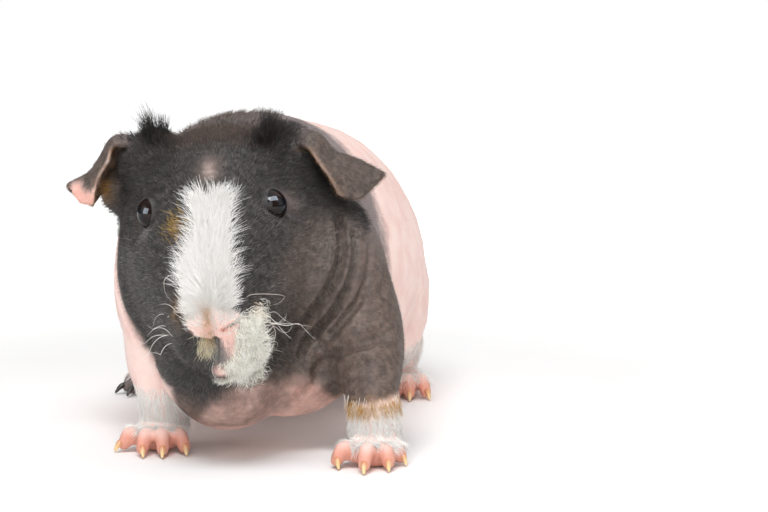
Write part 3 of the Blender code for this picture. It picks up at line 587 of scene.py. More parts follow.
def skin():
    """The fine skin: the flesh with its ears grown on, creased, and thinned where it is plain."""
    obj = flesh()
    bm = bmesh.new()
    bm.from_mesh(obj.data)
    for side in EARS:
        ear_sheet(bm, side)
    bmesh.ops.recalc_face_normals(bm, faces=bm.faces)
    bm.to_mesh(obj.data)
    bm.free()
    remeshed(obj, SKIN_GRID)
    points = vertices(obj.data)
    roots = distance(points, *(head_point(*place) for place in EAR_PLACES))
    smoothed(obj, np.maximum(0.25, 1 - smooth(roots, 7, 15)), round(SKIN_SMOOTHING / SKIN_GRID**2))
    refined(obj)
    points, normals = vertices(obj.data), vertex_normals(obj.data)
    points = pressed(points, normals)
    points[:, 2] = np.maximum(points[:, 2], 0.02)
    set_vertices(obj.data, points)
    muzzle = distance(points, head_point(6, 0, -8))
    head = distance(points, head_point(45, 0, 0))
    fine = np.maximum(1 - smooth(muzzle, 16, 40), 1 - smooth(eye_distance(points), 9, 16))
    fine = np.maximum(fine, 0.45 * (1 - smooth(head, 50, 90)))
    fine = np.maximum(fine, 0.6 * (1 - smooth(points[:, 2], 12, 26)))
    thin = obj.modifiers.new("fewer faces", "DECIMATE")
    thin.ratio = SKIN_TRIANGLES / (2 * len(points))
    thin.vertex_group = weighted(obj, "coarse", 1 - fine)
    thin.vertex_group_factor = 0.6
    applied(obj)
    obj.vertex_groups.clear()
    return obj


def tree_of(places):
    """Places as a tree that finds the nearest one's number."""
    tree = KDTree(len(places))
    for i, place in enumerate(places):
        tree.insert(place, i)
    tree.balance()
    return tree


def ear_facts(points):
    """For each point: how far down an ear it is (0 off the ears), how far across, and if inside it."""
    down, across, inner = np.zeros((3, len(points)))
    for side in EARS:
        grid = ear_grid(side, 9)
        normals = np.cross(np.gradient(grid, axis=0), np.gradient(grid, axis=1))
        flat, ways = grid.reshape(-1, 3), normals.reshape(-1, 3)
        tree = tree_of(flat)
        low, high = flat.min(0) - 4, flat.max(0) + 4
        for i in np.flatnonzero(np.all((points > low) & (points < high), axis=1)):
            _, nearest, away = tree.find(points[i])
            if away < EAR_REACH:
                down[i] = (nearest // grid.shape[1]) / (len(grid) - 1) + 0.001
                across[i] = (nearest % grid.shape[1]) / (grid.shape[1] - 1)
                facing = (points[i] - flat[nearest]) @ ways[nearest]
                inner[i] = facing * (-1 if side == "left" else 1) > 0
    return down, across, inner


def markings(points):
    """The pig's markings at any place, some of them painted sheen and shade: each is a share from 0 to 1.
    Skin and coat both use them.
    """
    terms = head_terms(points)
    back, side, up = terms.T
    x, y, z = points.T

    def spot(place, width, stretch=(1, 1, 1)):
        """A soft round patch of the head."""
        return bump(np.linalg.norm((terms - place) / stretch, axis=1), 0, width)

    head = 1 - smooth(np.sqrt(((back - 42) / 66) ** 2 + (side / 49) ** 2 + ((up - 6) / 50) ** 2), 0.92, 1.12)
    # The grey cape over the neck, the nape, the left shoulder and the left sleeve.
    cape = 1 - smooth(y + 0.25 * (x - 20), 24, 56)
    cape *= smooth(x + 0.35 * z, -22, 2)
    cape *= smooth(z - 0.25 * np.abs(x - 34), 14, 23)
    throat = (1 - smooth(z, 21, 33)) * (1 - smooth(np.abs(x - 6), 22, 30)) * (1 - smooth(y, 4, 20))
    dark = np.maximum(head, cape) * (1 - 0.5 * throat)
    dark = np.maximum(dark, (x < -40) * (y > 85) * (1 - smooth(z, 9, 14)) * smooth(130 - y, -6, 8))
    # The throat is brown-pink to the left of a slanted line.
    warm = smooth(x - 1.05 * (z - 31), -3, 6) * (1 - smooth(z, 28, 38)) * (1 - smooth(x, 24, 32)) * (y < -6)
    dark *= 1 - 0.25 * warm
    bib = smooth(z, 7.5, 13) * (1 - smooth(y, -24, -8)) * (z < 60)
    bib *= smooth(x, -28, -19) * (1 - smooth(x, 17, 25))
    dark = np.maximum(dark, bib * (0.85 - 0.27 * warm))
    # The chest beside the throat is painted darker and a browner pink, in its darkness and its blush: partly
    # its own mottled brown, partly painted shade under the head.
    chest = smooth(x, 14, 20) * (1 - smooth(x, 34, 40)) * (1 - smooth(z, 30, 40)) * (1 - smooth(y, 2, 14))
    dark = np.maximum(dark, 0.45 * chest)
    behind_ear = spot((88, -38, 8), 14)
    dark = np.maximum(dark, behind_ear)
    # The white blaze on the face, wider at the muzzle, with a brown-pink streak above it.
    right_edge = -4.4 - 3.6 * (1 - smooth(back, 15, 27)) - 1.6 * smooth(back, 32, 42)
    left_edge = 4.2 + 1.6 * (1 - smooth(back, 6, 18)) + 0.8 * smooth(back, 32, 42)
    blaze = smooth(side, right_edge - 1.3, right_edge + 1.3)
    blaze *= 1 - smooth(side, left_edge - 1.3, left_edge + 1.3)
    blaze *= (1 - smooth(back, 35, 43)) * smooth(up, -3, 0)
    streak = np.exp(-((side + 1.5) / 4.6) ** 2 - ((back - 59) / 11) ** 2) * (up > 10) * (1 - blaze)
    # The bare pad of the nose, the pink strip of the upper lip beside it, and the lip's tufts.
    pad = np.sqrt(((side - 0.3) / 10.5) ** 2 + ((back - 0.5) / 5.5) ** 2 + ((up - 0.2) / 5.8) ** 2)
    pad = 1 - smooth(pad, 0.8, 1.12)
    low_edge = 2.2 - 4.6 * smooth(-up, 11, 22)
    high_edge = 7.6 - 2.8 * smooth(-up, 7, 16) + 1.2 * smooth(-up, 20, 26)
    strip = smooth(side, low_edge - 3, low_edge + 2.5) * (1 - smooth(side, high_edge - 1.5, high_edge + 1.5))
    strip *= smooth(up, -27, -20) * (1 - smooth(up, -2, 2)) * (1 - smooth(back, 10, 15))
    lip = smooth(side, 3, 6) * (1 - smooth(side, 14, 19)) * (1 - smooth(back, 12, 18))
    lip *= (1 - smooth(up, -1, 3)) * smooth(up, -30, -25)
    moustache = bump(side + 3.0, 0, 2.4) * bump(up + 8.5, 0, 3.6) * (back < 9)
    grey_lip = bump(side - 0.6, 0, 2.6) * bump(up + 12.5, 0, 5) * (back < 9)
    dark *= 1 - np.maximum.reduce([blaze, 0.3 * grey_lip, 0.38 * streak, pad, strip, 0.5 * lip,
                                   0.55 * moustache])
    # The lower cheek on the left side is painted paler brown instead of coal: a painted sheen.
    deep = head * (1 - 0.9 * streak) * (1 - 0.75 * smooth(side, 14, 32) * (1 - smooth(up, 2, 14)))
    deep = np.maximum(deep * (1 - 0.85 * warm) * (1 - 0.7 * grey_lip), behind_ear)
    deep *= 1 - 0.25 * smooth(back, 70, 92)
    slit = np.max([nearness(points, spline(head_path(path), 6), 1.9) for path in NOSTRILS], axis=0)
    # The inner end of each nostril is painted near-black: painted shade in its hollow.
    nostril_shade = np.max([nearness(points, spline(head_path(path[1:]), 6), 1.2) for path in NOSTRILS], axis=0)
    paws = 1 - smooth(z, 5, 11)
    blush = np.maximum.reduce([slit**0.5, 0.85 * paws, 0.4 * throat, 0.3 * strip, 0.25 * pad, 0.4 * warm,
                               0.5 * chest])
    sleeve = bump(z - 0.1 * (x - 50), 21.5, 2.0) * smooth(x, 30, 38) * (y < 0)
    # Near-black painted shade in the nostrils' hollows.
    dark, deep = np.maximum(dark, 0.75 * nostril_shade**0.5), np.maximum(deep * (1 - slit), 0.5 * nostril_shade)
    midline = bump(side + 1.9, 0, 1.5) * smooth(up, -9, -4) * (1 - smooth(up, 3.5, 7)) * (back < 7)
    temple = spot((35, -11, 19), 3.6, (1.6, 1, 1))
    whisker_root = spot((10, 13, -0.5), 2.6)
    stain = np.maximum.reduce([0.9 * sleeve, 0.42 * midline, 0.5 * spot((8, -11, 1.5), 4.5), 0.2 * temple,
                               0.25 * whisker_root, 0.8 * spot((86, -43, 12), 4)])
    # The ears, with a pink tip outside on the right one.
    down, across, inner = ear_facts(points)
    on_ear = smooth(down, 0.12, 0.3)
    lobe = 0.8 * (side < 0) * (1 - inner) * smooth(down, 0.78, 0.95) * (1 - smooth(across, 0.34, 0.56))
    front_rim = (1 - smooth(across, 0.02, 0.10)) * smooth(down, 0.25, 0.4)
    ear_dark = 0.86 - 0.86 * lobe - 0.2 * front_rim
    dark = dark * (1 - on_ear) + on_ear * ear_dark
    # The inner face of each ear is painted darker than its outer face: painted shade in its hollow.
    deep = deep * (1 - on_ear) + on_ear * (0.25 + 0.35 * inner)
    blush = np.maximum(blush, on_ear * 0.8 * lobe)
    stain = np.maximum(stain, on_ear * (0.3 * inner + 0.2 * front_rim))
    # The grey rims of the lids, and a paler halo below each eye.
    shut, halo = np.zeros((2, len(points)))
    for left in (1, -1):
        away, reach, rise, across, out = eye_terms(points, left)
        below = smooth(-rise - 0.6 * across, -3.5, 2.5)
        shut = np.maximum(shut, bump(out, 1.09, 0.055) * (reach < 9) * (0.1 + 0.9 * below))
        halo = np.maximum(halo, bump(out, 1.42, 0.25) * (reach < 11) * smooth(-rise - 0.3 * across, -1, 5))
    deep *= 1 - 0.55 * halo
    curls = smooth(side, high_edge - 2, high_edge + 1.5) * (1 - smooth(side, 10.5, 17))
    curls *= 1 - smooth(back, 12, 20)
    curls = np.maximum(curls, 0.5 * strip * (1 - smooth(up, -17, -13)) * smooth(side, 0, 4))
    curls *= smooth(up, -32, -29) * (1 - smooth(up, -1, 3)) * (1 - slit)
    # The upper neck, the nape and the back are painted a paler mauve-grey, stronger on the left and on top:
    # partly the skin's own mauve tone, partly a painted sheen from the light above. The paler halo below
    # each eye is added to it.
    mauve = smooth(z + 0.8 * y, 56, 100) * (1 - on_ear) * (0.75 + 0.25 * smooth(x, -10, 20))
    mauve = np.maximum(mauve, 0.85 * smooth(z, 98, 110) * (1 - on_ear))
    mauve = np.maximum(mauve * (1 - 0.85 * head), 0.35 * halo)
    return {"dark": dark, "deep": deep, "mauve": mauve, "blush": blush, "stain": stain, "rim": shut,
            "head": head, "cape": cape, "blaze": blaze * (down == 0), "pad": pad, "curls": curls,
            "moustache": moustache, "grey_lip": grey_lip, "temple": temple, "whisker_root": whisker_root,
            "down": down}


def store(mesh, name, values):
    made = mesh.attributes.new(name, "FLOAT", "POINT")
    made.data.foreach_set("value", np.asarray(values, np.float32))


def placed(mesh):
    """Moves a finished mesh from the pig's own frame to the solids' place."""
    set_vertices(mesh, vertices(mesh) + SHIFT)


def feed(made, **inputs):
    """Gives a node its inputs, by name or as n and their number: values to set or sockets to link."""
    for name, value in inputs.items():
        socket = made.inputs[int(name[1:]) if name[1:].isdigit() else name.replace("_", " ")]
        if isinstance(value, bpy.types.NodeSocket):
            made.id_data.links.new(value, socket)
        else:
            socket.default_value = value


def node(tree, kind, settings=None, **inputs):
    """A new node with its settings and its inputs."""
    made = tree.nodes.new(kind)
    for name, value in (settings or {}).items():
        setattr(made, name, value)
    feed(made, **inputs)
    return made


def group(name, kind, inputs, outputs):
    """A new node group and its input and output nodes."""
    tree = bpy.data.node_groups.new(name, kind)
    for label, (socket_kind, value) in inputs.items():
        socket = tree.interface.new_socket(label, in_out="INPUT", socket_type=socket_kind)
        if value is not None:
            socket.default_value = value
    for label, socket_kind in outputs.items():
        tree.interface.new_socket(label, in_out="OUTPUT", socket_type=socket_kind)
    return tree, tree.nodes.new("NodeGroupInput").outputs, tree.nodes.new("NodeGroupOutput")


FLOAT, COLOUR, GEOMETRY = "NodeSocketFloat", "NodeSocketColor", "NodeSocketGeometry"
# The markings that colour the skin, and those that short hair takes from it.
SKIN_MARKS = ("dark", "deep", "mauve", "blush", "stain", "rim")
FUZZ_MARKS = ("dark", "deep", "mauve", "stain")


def maths(tree, operation, *values, clamp=False):
    inputs = {f"n{i}": value for i, value in enumerate(values)}
    return node(tree, "ShaderNodeMath", {"operation": operation, "use_clamp": clamp}, **inputs).outputs[0]


def times(tree, first, second):
    return maths(tree, "MULTIPLY", first, second)


def plus(tree, first, second):
    return maths(tree, "ADD", first, second)


def mixed(tree, share, first, second):
    """A colour between two, each given as a socket or as red, green and blue."""
    first, second = ((*value, 1) if isinstance(value, tuple) else value for value in (first, second))
    return node(tree, "ShaderNodeMix", {"data_type": "RGBA"}, n0=share, n6=first, n7=second).outputs[2]


def noise(tree, scale, detail=3.0):
    place = node(tree, "ShaderNodeTexCoord").outputs["Object"]
    return node(tree, "ShaderNodeTexNoise", None, Vector=place, Scale=scale, Detail=detail,
                Roughness=0.55).outputs["Fac"]


def stepped(tree, value, low, high):
    """A soft step from 0 at low to 1 at high."""
    return node(tree, "ShaderNodeMapRange", {"interpolation_type": "SMOOTHSTEP"}, Value=value,
                From_Min=low, From_Max=high).outputs["Result"]


def attribute(tree, name):
    return node(tree, "ShaderNodeAttribute", {"attribute_name": name}).outputs["Fac"]


def blotched(tree, base, pattern, strength):
    """A value broken up by a pattern about its middle."""
    return plus(tree, base, times(tree, maths(tree, "SUBTRACT", pattern, 0.5), strength))


def pigment_group():
    """Skin colour from the markings, with their painted sheen and shade, broken up by blotches and freckles.
    """
    inputs = {name.title(): (FLOAT, 0.0) for name in SKIN_MARKS}
    tree, given, out = group("pigment", "ShaderNodeTree", inputs, {"Colour": COLOUR})
    blotch, patch, freckle = noise(tree, 95, 3), noise(tree, 420, 4), noise(tree, 1700, 3)
    ragged = blotched(tree, blotched(tree, given["Dark"], blotch, 0.4), patch, 0.35)
    dark = stepped(tree, ragged, 0.2, 0.82)
    pink = mixed(tree, stepped(tree, blotch, 0.35, 0.7), (0.88, 0.68, 0.62), (0.83, 0.575, 0.52))
    pink = mixed(tree, times(tree, given["Blush"], 0.9), pink, (0.65, 0.23, 0.14))
    grey = mixed(tree, stepped(tree, patch, 0.3, 0.75), (0.074, 0.052, 0.043), (0.155, 0.111, 0.090))
    coal = mixed(tree, stepped(tree, patch, 0.3, 0.75), (0.009, 0.008, 0.008), (0.048, 0.043, 0.040))
    # The paler mauve-grey of the upper neck and back: partly the skin's tone, partly a painted sheen.
    grey = mixed(tree, given["Mauve"], grey, (0.235, 0.192, 0.185))
    skin_dark = mixed(tree, given["Deep"], grey, coal)
    skin_dark = mixed(tree, times(tree, stepped(tree, freckle, 0.55, 0.8), 0.35), skin_dark,
                      (0.16, 0.14, 0.13))
    colour = mixed(tree, dark, pink, skin_dark)
    stained = times(tree, given["Stain"], stepped(tree, patch, 0.2, 0.7))
    colour = mixed(tree, stained, colour, (0.36, 0.17, 0.045))
    colour = mixed(tree, times(tree, given["Rim"], 0.6), colour, (0.26, 0.22, 0.24))
    feed(out, Colour=colour)
    return tree


def relief_group():
    """Fine wrinkles and pores of bare skin, as a height."""
    tree, given, out = group("skin relief", "ShaderNodeTree", {"Scale": (FLOAT, 1.0)}, {"Height": FLOAT})
    place = node(tree, "ShaderNodeTexCoord").outputs["Object"]
    cells = node(tree, "ShaderNodeTexVoronoi", {"feature": "DISTANCE_TO_EDGE"}, Vector=place,
                 Scale=times(tree, given["Scale"], 900.0)).outputs["Distance"]
    grain = node(tree, "ShaderNodeTexNoise", None, Vector=place, Detail=4.0,
                 Scale=times(tree, given["Scale"], 1300.0)).outputs["Fac"]
    wrinkles = times(tree, stepped(tree, cells, 0.0, 0.25), 0.5)
    feed(out, Height=plus(tree, wrinkles, grain))
    return tree


def new_material(name):
    made = bpy.data.materials.new(name)
    made.use_nodes = True
    return made, made.node_tree, made.node_tree.nodes["Principled BSDF"]


def skin_colour(tree, pigment, *labels):
    """The pigment's colour from the named markings."""
    shares = {label.title(): attribute(tree, label) for label in labels}
    return node(tree, "ShaderNodeGroup", {"node_tree": pigment}, **shares).outputs["Colour"]


def skin_material(pigment, relief):
    made, tree, shader = new_material("bare skin")
    height = node(tree, "ShaderNodeGroup", {"node_tree": relief}, Scale=1.0).outputs["Height"]
    raised = node(tree, "ShaderNodeBump", None, Height=height, Strength=0.45, Distance=0.00022)
    feed(shader, Base_Color=skin_colour(tree, pigment, *SKIN_MARKS), Normal=raised.outputs["Normal"],
         Roughness=plus(tree, times(tree, noise(tree, 600), 0.25), 0.42),
         Subsurface_Weight=0.12, Subsurface_Radius=(1.0, 0.36, 0.22), Subsurface_Scale=0.003,
         Specular_IOR_Level=0.35)
    return made


def shade_group():
    """Hair colour from root to tip, a little different on each hair, with stained patches."""
    inputs = {label: (COLOUR, None) for label in ("Root", "Tip", "Stained")} | {"Contrast": (FLOAT, 0.3)}
    tree, given, out = group("hair shade", "ShaderNodeTree", inputs, {"Colour": COLOUR})
    vary = attribute(tree, "vary")
    colour = mixed(tree, attribute(tree, "along"), given["Root"], given["Tip"])
    spotted = maths(tree, "MULTIPLY", attribute(tree, "stain"), plus(tree, vary, 0.35), clamp=True)
    colour = mixed(tree, spotted, colour, given["Stained"])
    bright = node(tree, "ShaderNodeHueSaturation", None, Value=blotched(tree, 1.0, vary, given["Contrast"]),
                  Color=colour)
    feed(out, Colour=bright.outputs["Color"])
    return tree


def hair_material(name, shade, root, tip, contrast):
    made, tree, shader = new_material(name)
    hair = node(tree, "ShaderNodeGroup", {"node_tree": shade}, Root=(*root, 1), Tip=(*tip, 1),
                Stained=(*STAINED_HAIR, 1), Contrast=contrast)
    feed(shader, Base_Color=hair.outputs["Colour"], Roughness=0.45, Specular_IOR_Level=0.3)
    return made


def tube_tree():
    """Turns runs of edges into tapered tubes, as thick as their `thick` attribute says."""
    inputs = {"Runs": (GEOMETRY, None), "Sides": ("NodeSocketInt", HAIR_SIDES),
              "Finish": ("NodeSocketMaterial", None)}
    tree, given, out = group("tapered tubes", "GeometryNodeTree", inputs, {"Tubes": GEOMETRY})
    runs = node(tree, "GeometryNodeMeshToCurve", None, Mesh=given["Runs"]).outputs["Curve"]
    ring = node(tree, "GeometryNodeCurvePrimitiveCircle", None, Resolution=given["Sides"], Radius=1.0)
    thick = node(tree, "GeometryNodeInputNamedAttribute", None, Name="thick").outputs["Attribute"]
    tubes = node(tree, "GeometryNodeCurveToMesh", None, Curve=runs, Profile_Curve=ring.outputs["Curve"],
                 Scale=thick, Fill_Caps=True).outputs["Mesh"]
    tubes = node(tree, "GeometryNodeSetShadeSmooth", None, Geometry=tubes).outputs["Geometry"]
    tubes = node(tree, "GeometryNodeRealizeInstances", None, Geometry=tubes).outputs["Geometry"]
    tubes = node(tree, "GeometryNodeSetMaterial", None, Geometry=tubes, Material=given["Finish"])
    feed(out, Tubes=tubes.outputs["Geometry"])
    return tree


def identifier(tree, label):
    """What a modifier calls one of a tree's inputs."""
    return next(item.identifier for item in tree.interface.items_tree
                if item.name == label and item.in_out == "INPUT")


def tubes(name, tree, runs, thickness, sides, finish, facts):
    """Tapered tubes along runs of points (tube, place along it, xyz). Facts are one number for each tube."""
    count, steps = runs.shape[:2]
    mesh = bpy.data.meshes.new(name)
    mesh.vertices.add(count * steps)
    mesh.vertices.foreach_set("co", ((runs + SHIFT) * MM).astype(np.float32).ravel())
    first = (np.arange(count)[:, None] * steps + np.arange(steps - 1)).ravel()
    mesh.edges.add(len(first))
    mesh.edges.foreach_set("vertices", np.stack([first, first + 1], 1).ravel())
    store(mesh, "thick", (thickness * MM).ravel())
    store(mesh, "along", np.tile(np.linspace(0, 1, steps), count))
    for label, values in facts.items():
        store(mesh, label, np.repeat(values, steps))
    obj = in_scene(name, mesh)
    modifier = obj.modifiers.new("tubes", "NODES")
    modifier.node_group = tree
    modifier[identifier(tree, "Sides")] = sides
    modifier[identifier(tree, "Finish")] = finish
    return applied(obj)


def patch_map(obj, steps, sides, places):
    """The coat's map: each hair is a small patch at its root's place on the unwrapped skin."""
    low, high = places.min(0), places.max(0)
    places = 0.01 + 0.98 * (places - low) / np.maximum(high - low, 1e-6)
    ring, corner = np.divmod(np.arange(steps * sides), sides)
    inside = np.stack([corner / sides - 0.5, ring / (steps - 1) - 0.5], 1) * PATCH_SIZE
    spots = (places[:, None, :] + inside[None]).reshape(-1, 2)
    loops = np.empty(len(obj.data.loops), np.int32)
    obj.data.loops.foreach_get("vertex_index", loops)
    layer = obj.data.uv_layers.new(name="OFBake")
    layer.data.foreach_set("uv", np.clip(spots[loops], 0, 1).astype(np.float32).ravel())


class Surface:
    """The skin's triangles, to scatter roots on."""

    def __init__(self, mesh):
        mesh.calc_loop_triangles()
        corners = np.empty(len(mesh.loop_triangles) * 3, np.int32)
        mesh.loop_triangles.foreach_get("vertices", corners)
        self.corners = corners.reshape(-1, 3)
        self.points, self.normals = vertices(mesh), vertex_normals(mesh)
        a, b, c = (self.points[self.corners[:, i]] for i in range(3))
        self.centres = (a + b + c) / 3
        self.areas = np.linalg.norm(np.cross(b - a, c - a), axis=1) / 2

    def scatter(self, density, count, rng):
        """Roots and normals, in numbers that follow a density given for each triangle."""
        share = np.cumsum(self.areas * density)
        picks = np.searchsorted(share, rng.random(count) * share[-1])
        u, v = rng.random((2, count))
        flip = u + v > 1
        u, v = np.where(flip, 1 - u, u), np.where(flip, 1 - v, v)
        weights = np.stack([1 - u - v, u, v], 1)[:, :, None]
        corners = self.corners[picks]
        normals = (self.normals[corners] * weights).sum(1)
        return (self.points[corners] * weights).sum(1), normals / np.linalg.norm(normals, axis=1)[:, None]


def units(rows):
    return rows / np.maximum(np.linalg.norm(rows, axis=1), 1e-9)[:, None]


def unwrap_head(roots):
    back, side, up = head_terms(roots).T
    return np.stack([np.arctan2(side, up + 14), back / 40], 1)


def unwrap_body(roots):
    return np.stack([np.arctan2(roots[:, 0] - 3, roots[:, 2] - 58), roots[:, 1] / 50], 1)


def leg_axes(roots):
    """Which leg each root is on, and a point of that leg's upright axis."""
    leg = 2 * (roots[:, 1] > 60) + (roots[:, 0] > 0)
    return leg, np.array([(-31, -14, 0), (49, -36, 0), (-50, 125, 0), (47, 125, 0)])[leg]


def unwrap_legs(roots):
    """Each leg is unrolled round its own upright axis, in a column of its own."""
    leg, axes = leg_axes(roots)
    turn = np.arctan2(roots[:, 0] - axes[:, 0], roots[:, 1] - axes[:, 1])
    return np.stack([leg + turn / (2 * math.pi + 0.3), roots[:, 2] / 10], 1)


def coat(name, surface, tree, finish, unwrap, density, count, way, length, lift, width, rng,
         steps=4, bend=(0.0, 0.0), curl=0.0, turns=(4, 8), clump=0.0, clumps=0.05):
    """Hairs over a part of the skin. `way` gives the lie of the hair, and lift how it stands off the skin.
    Length, lift, bend to a side and turns of the curl are drawn for each hair. Some of the hairs, a share
    of them given by clumps, draw the others to them by as much as clump says."""
    count = max(12, round(count * HAIR_SHARE))
    roots, normals = surface.scatter(density, count, rng)
    lie = way(roots)
    lie = units(lie - normals * (lie * normals).sum(1)[:, None])
    lift = rng.uniform(*lift, count)[:, None]
    ways = units(units(lie + lift * normals) + rng.normal(0, HAIR_SCATTER, (count, 3)))
    long = length * rng.uniform(0.7, 1.15, count)
    across = units(np.cross(ways, normals))
    turn = (rng.uniform(*bend, count) * rng.choice((-1, 1), count))[:, None]
    t = np.linspace(0, 1, steps)[None, :, None]
    reach = (long + HAIR_SINK)[:, None, None] * t - HAIR_SINK
    runs = roots[:, None] + ways[:, None] * reach
    runs += (across * turn)[:, None] * long[:, None, None] * t**2
    if curl:
        phase = rng.uniform(0, 2 * math.pi, (count, 1, 1)) + t * rng.uniform(*turns, (count, 1, 1))
        other = np.cross(ways, across)
        runs += curl * t * (np.cos(phase) * across[:, None] + np.sin(phase) * other[:, None])
    if clump:
        leaders = np.arange(0, count, max(2, round(1 / clumps)))
        nearest = tree_of(roots[leaders])
        lead = leaders[[nearest.find(root)[1] for root in roots]]
        pull = clump * t**1.5 * rng.uniform(0.3, 1, (count, 1, 1))
        runs = runs * (1 - pull) + (runs[lead] + 0.25 * (roots - roots[lead])[:, None]) * pull
    thickness = width * rng.uniform(0.75, 1.2, (count, 1)) * (1 - 0.85 * np.linspace(0, 1, steps) ** 1.5)
    marks = markings(roots)
    facts = {"vary": rng.random(count), "stain": np.clip(1.8 * marks["stain"], 0, 1)}
    facts.update({label: marks[label] for label in ("dark", "deep", "mauve")})
    obj = tubes(name, tree, runs, thickness / 2, HAIR_SIDES, finish, facts)
    patch_map(obj, steps, HAIR_SIDES, unwrap(roots))
    return obj


def ring(bm, centre, ways, radius, angle, sides):
    """A ring of new vertices round a ball, at an angle from the way it looks."""
    gaze, corner, up = ways
    turn = np.linspace(0, 2 * math.pi, sides, endpoint=False)
    rows = (centre + radius * math.cos(angle) * gaze
            + radius * math.sin(angle) * (np.outer(np.cos(turn), corner) + np.outer(np.sin(turn), up)))
    return [bm.verts.new(Vector(p) * MM) for p in rows]


def eyeball(left, finish):
    """A wet round eye with a slightly raised cornea, from its front pole to its back pole."""
    bm = bmesh.new()
    centre, ways = eye_centre(left), eye_ways(left)
    angles = np.linspace(0, math.pi, EYE_RINGS)
    rows = []
    for angle in angles[1:-1]:
        radius = EYE_RADIUS + CORNEA_RISE * math.exp(-(angle / 0.62) ** 2)
        rows.append(ring(bm, centre, ways, radius, angle, EYE_SIDES))
    poles = [bm.verts.new(Vector(centre + reach * ways[0]) * MM)
             for reach in (EYE_RADIUS + CORNEA_RISE, -EYE_RADIUS)]
    for i in range(EYE_SIDES):
        j = (i + 1) % EYE_SIDES
        bm.faces.new((poles[0], rows[0][i], rows[0][j]))
        bm.faces.new((poles[1], rows[-1][j], rows[-1][i]))
        for a, b in zip(rows, rows[1:]):
            bm.faces.new((a[i], b[i], b[j], a[j]))
    obj = new_object("eyeball_left" if left > 0 else "eyeball_right", bm)
    points = vertices(obj.data)
    away = units(points - centre)
    store(obj.data, "look", np.arccos(np.clip(away @ ways[0], -1, 1)))
    placed(obj.data)
    obj.data.materials.append(finish)
    obj.data.shade_smooth()
    return obj


def eye_material():
    """Near-black, in rings by the angle from where the eye looks: pupil, dark brown iris, edge and white."""
    made, tree, shader = new_material("wet eye")
    look = attribute(tree, "look")
    iris = mixed(tree, noise(tree, 900, 4), (0.009, 0.004, 0.0025), (0.003, 0.002, 0.002))
    colour = mixed(tree, stepped(tree, look, 0.36, 0.44), (0.002, 0.002, 0.003), iris)
    colour = mixed(tree, stepped(tree, look, 0.84, 0.98), colour, (0.004, 0.003, 0.003))
    colour = mixed(tree, stepped(tree, look, 1.12, 1.3), colour, (0.10, 0.045, 0.035))
    feed(shader, Base_Color=colour, Roughness=0.12, Coat_Weight=0.6, Coat_Roughness=0.012, Coat_IOR=1.42,
         Specular_IOR_Level=0.0)
    return made


def claw_material(name, root, tip, streak):
    made, tree, shader = new_material(name)
    colour = mixed(tree, stepped(tree, attribute(tree, "along"), 0.35, 0.95), root, tip)
    grain = stepped(tree, noise(tree, 1400, 4), 0.4, 0.7)
    colour = mixed(tree, times(tree, grain, 0.35), colour, streak)
    raised = node(tree, "ShaderNodeBump", None, Height=noise(tree, 2200, 3), Strength=0.25, Distance=0.0001)
    feed(shader, Base_Color=colour, Normal=raised.outputs["Normal"], Subsurface_Weight=0.1,
         Roughness=plus(tree, times(tree, grain, 0.2), 0.28), Subsurface_Scale=0.001,
         Coat_Weight=0.3)
    return made


def claws(name, tree, finish, feet):
    """Curved, tapered horns from inside the toes' tips down to the ground."""
    runs = []
    for place in feet:
        for toe, tip in zip(place["toes"], place["claws"]):
            start = np.array([*toe, TOE_HEIGHT + 0.9])
            end = np.array([*tip, CLAW_RADII[2] + 0.15])
            runs.append(spline([start, (start + end) / 2 + (0, 0, 1.1), end], CLAW_STEPS))
    runs = np.array(runs)
    thickness = np.repeat(spline([[r] for r in CLAW_RADII], CLAW_STEPS).T, len(runs), axis=0)
    thickness[:, -1] *= 0.55
    return tubes(name, tree, runs, thickness, CLAW_SIDES, finish, {"vary": np.full(len(runs), 0.5)})


def fuzz_material(name, pigment, pale, lightest):
    """Short hair in the colour of the skin it grows from. A few hairs are paler towards the tip."""
    made, tree, shader = new_material(name)
    few = maths(tree, "POWER", attribute(tree, "vary"), 3.0)
    share = times(tree, times(tree, attribute(tree, "along"), few), lightest)
    feed(shader, Base_Color=mixed(tree, share, skin_colour(tree, pigment, *FUZZ_MARKS), pale), Roughness=0.6,
         Specular_IOR_Level=0.25)
    return made


def photo_ray(x, y):
    """The start and the direction of the camera's ray through a pixel of the photo."""
    across, down = (x - PHOTO_WIDE / 2) / FOCAL_PIXELS, (y - PHOTO_HIGH / 2) / FOCAL_PIXELS
    return CAMERA, unit(CAMERA_FORWARD + across * CAMERA_RIGHT - down * CAMERA_UP)


def first_hit(bvh, start, way):
    """Where a ray first meets the skin, or None."""
    hit = bvh.ray_cast(Vector(start) * MM, Vector(way))[0]
    return np.array(hit) / MM if hit else None


def photo_run(bvh, rows):
    """A whisker along pixels of the photo. It is rooted in the skin and then hangs just before it."""
    placed_at, depth = [], None
    for n, (x, y) in enumerate(rows):
        start, way = photo_ray(x, y)
        hit = first_hit(bvh, start, way)
        reach = depth if hit is None else np.linalg.norm(hit - start)
        depth = reach if depth is None else min(reach, depth + 1.5)
        depth = depth if n else reach + 0.5
        placed_at.append(start + way * (depth - WHISKER_CLEAR * min(n, 3) / 2))
    run = spline(placed_at, 6)
    places = np.linspace(0, len(run) - 1, WHISKER_STEPS)
    return np.stack([np.interp(places, np.arange(len(run)), run[:, i]) for i in range(3)], 1)


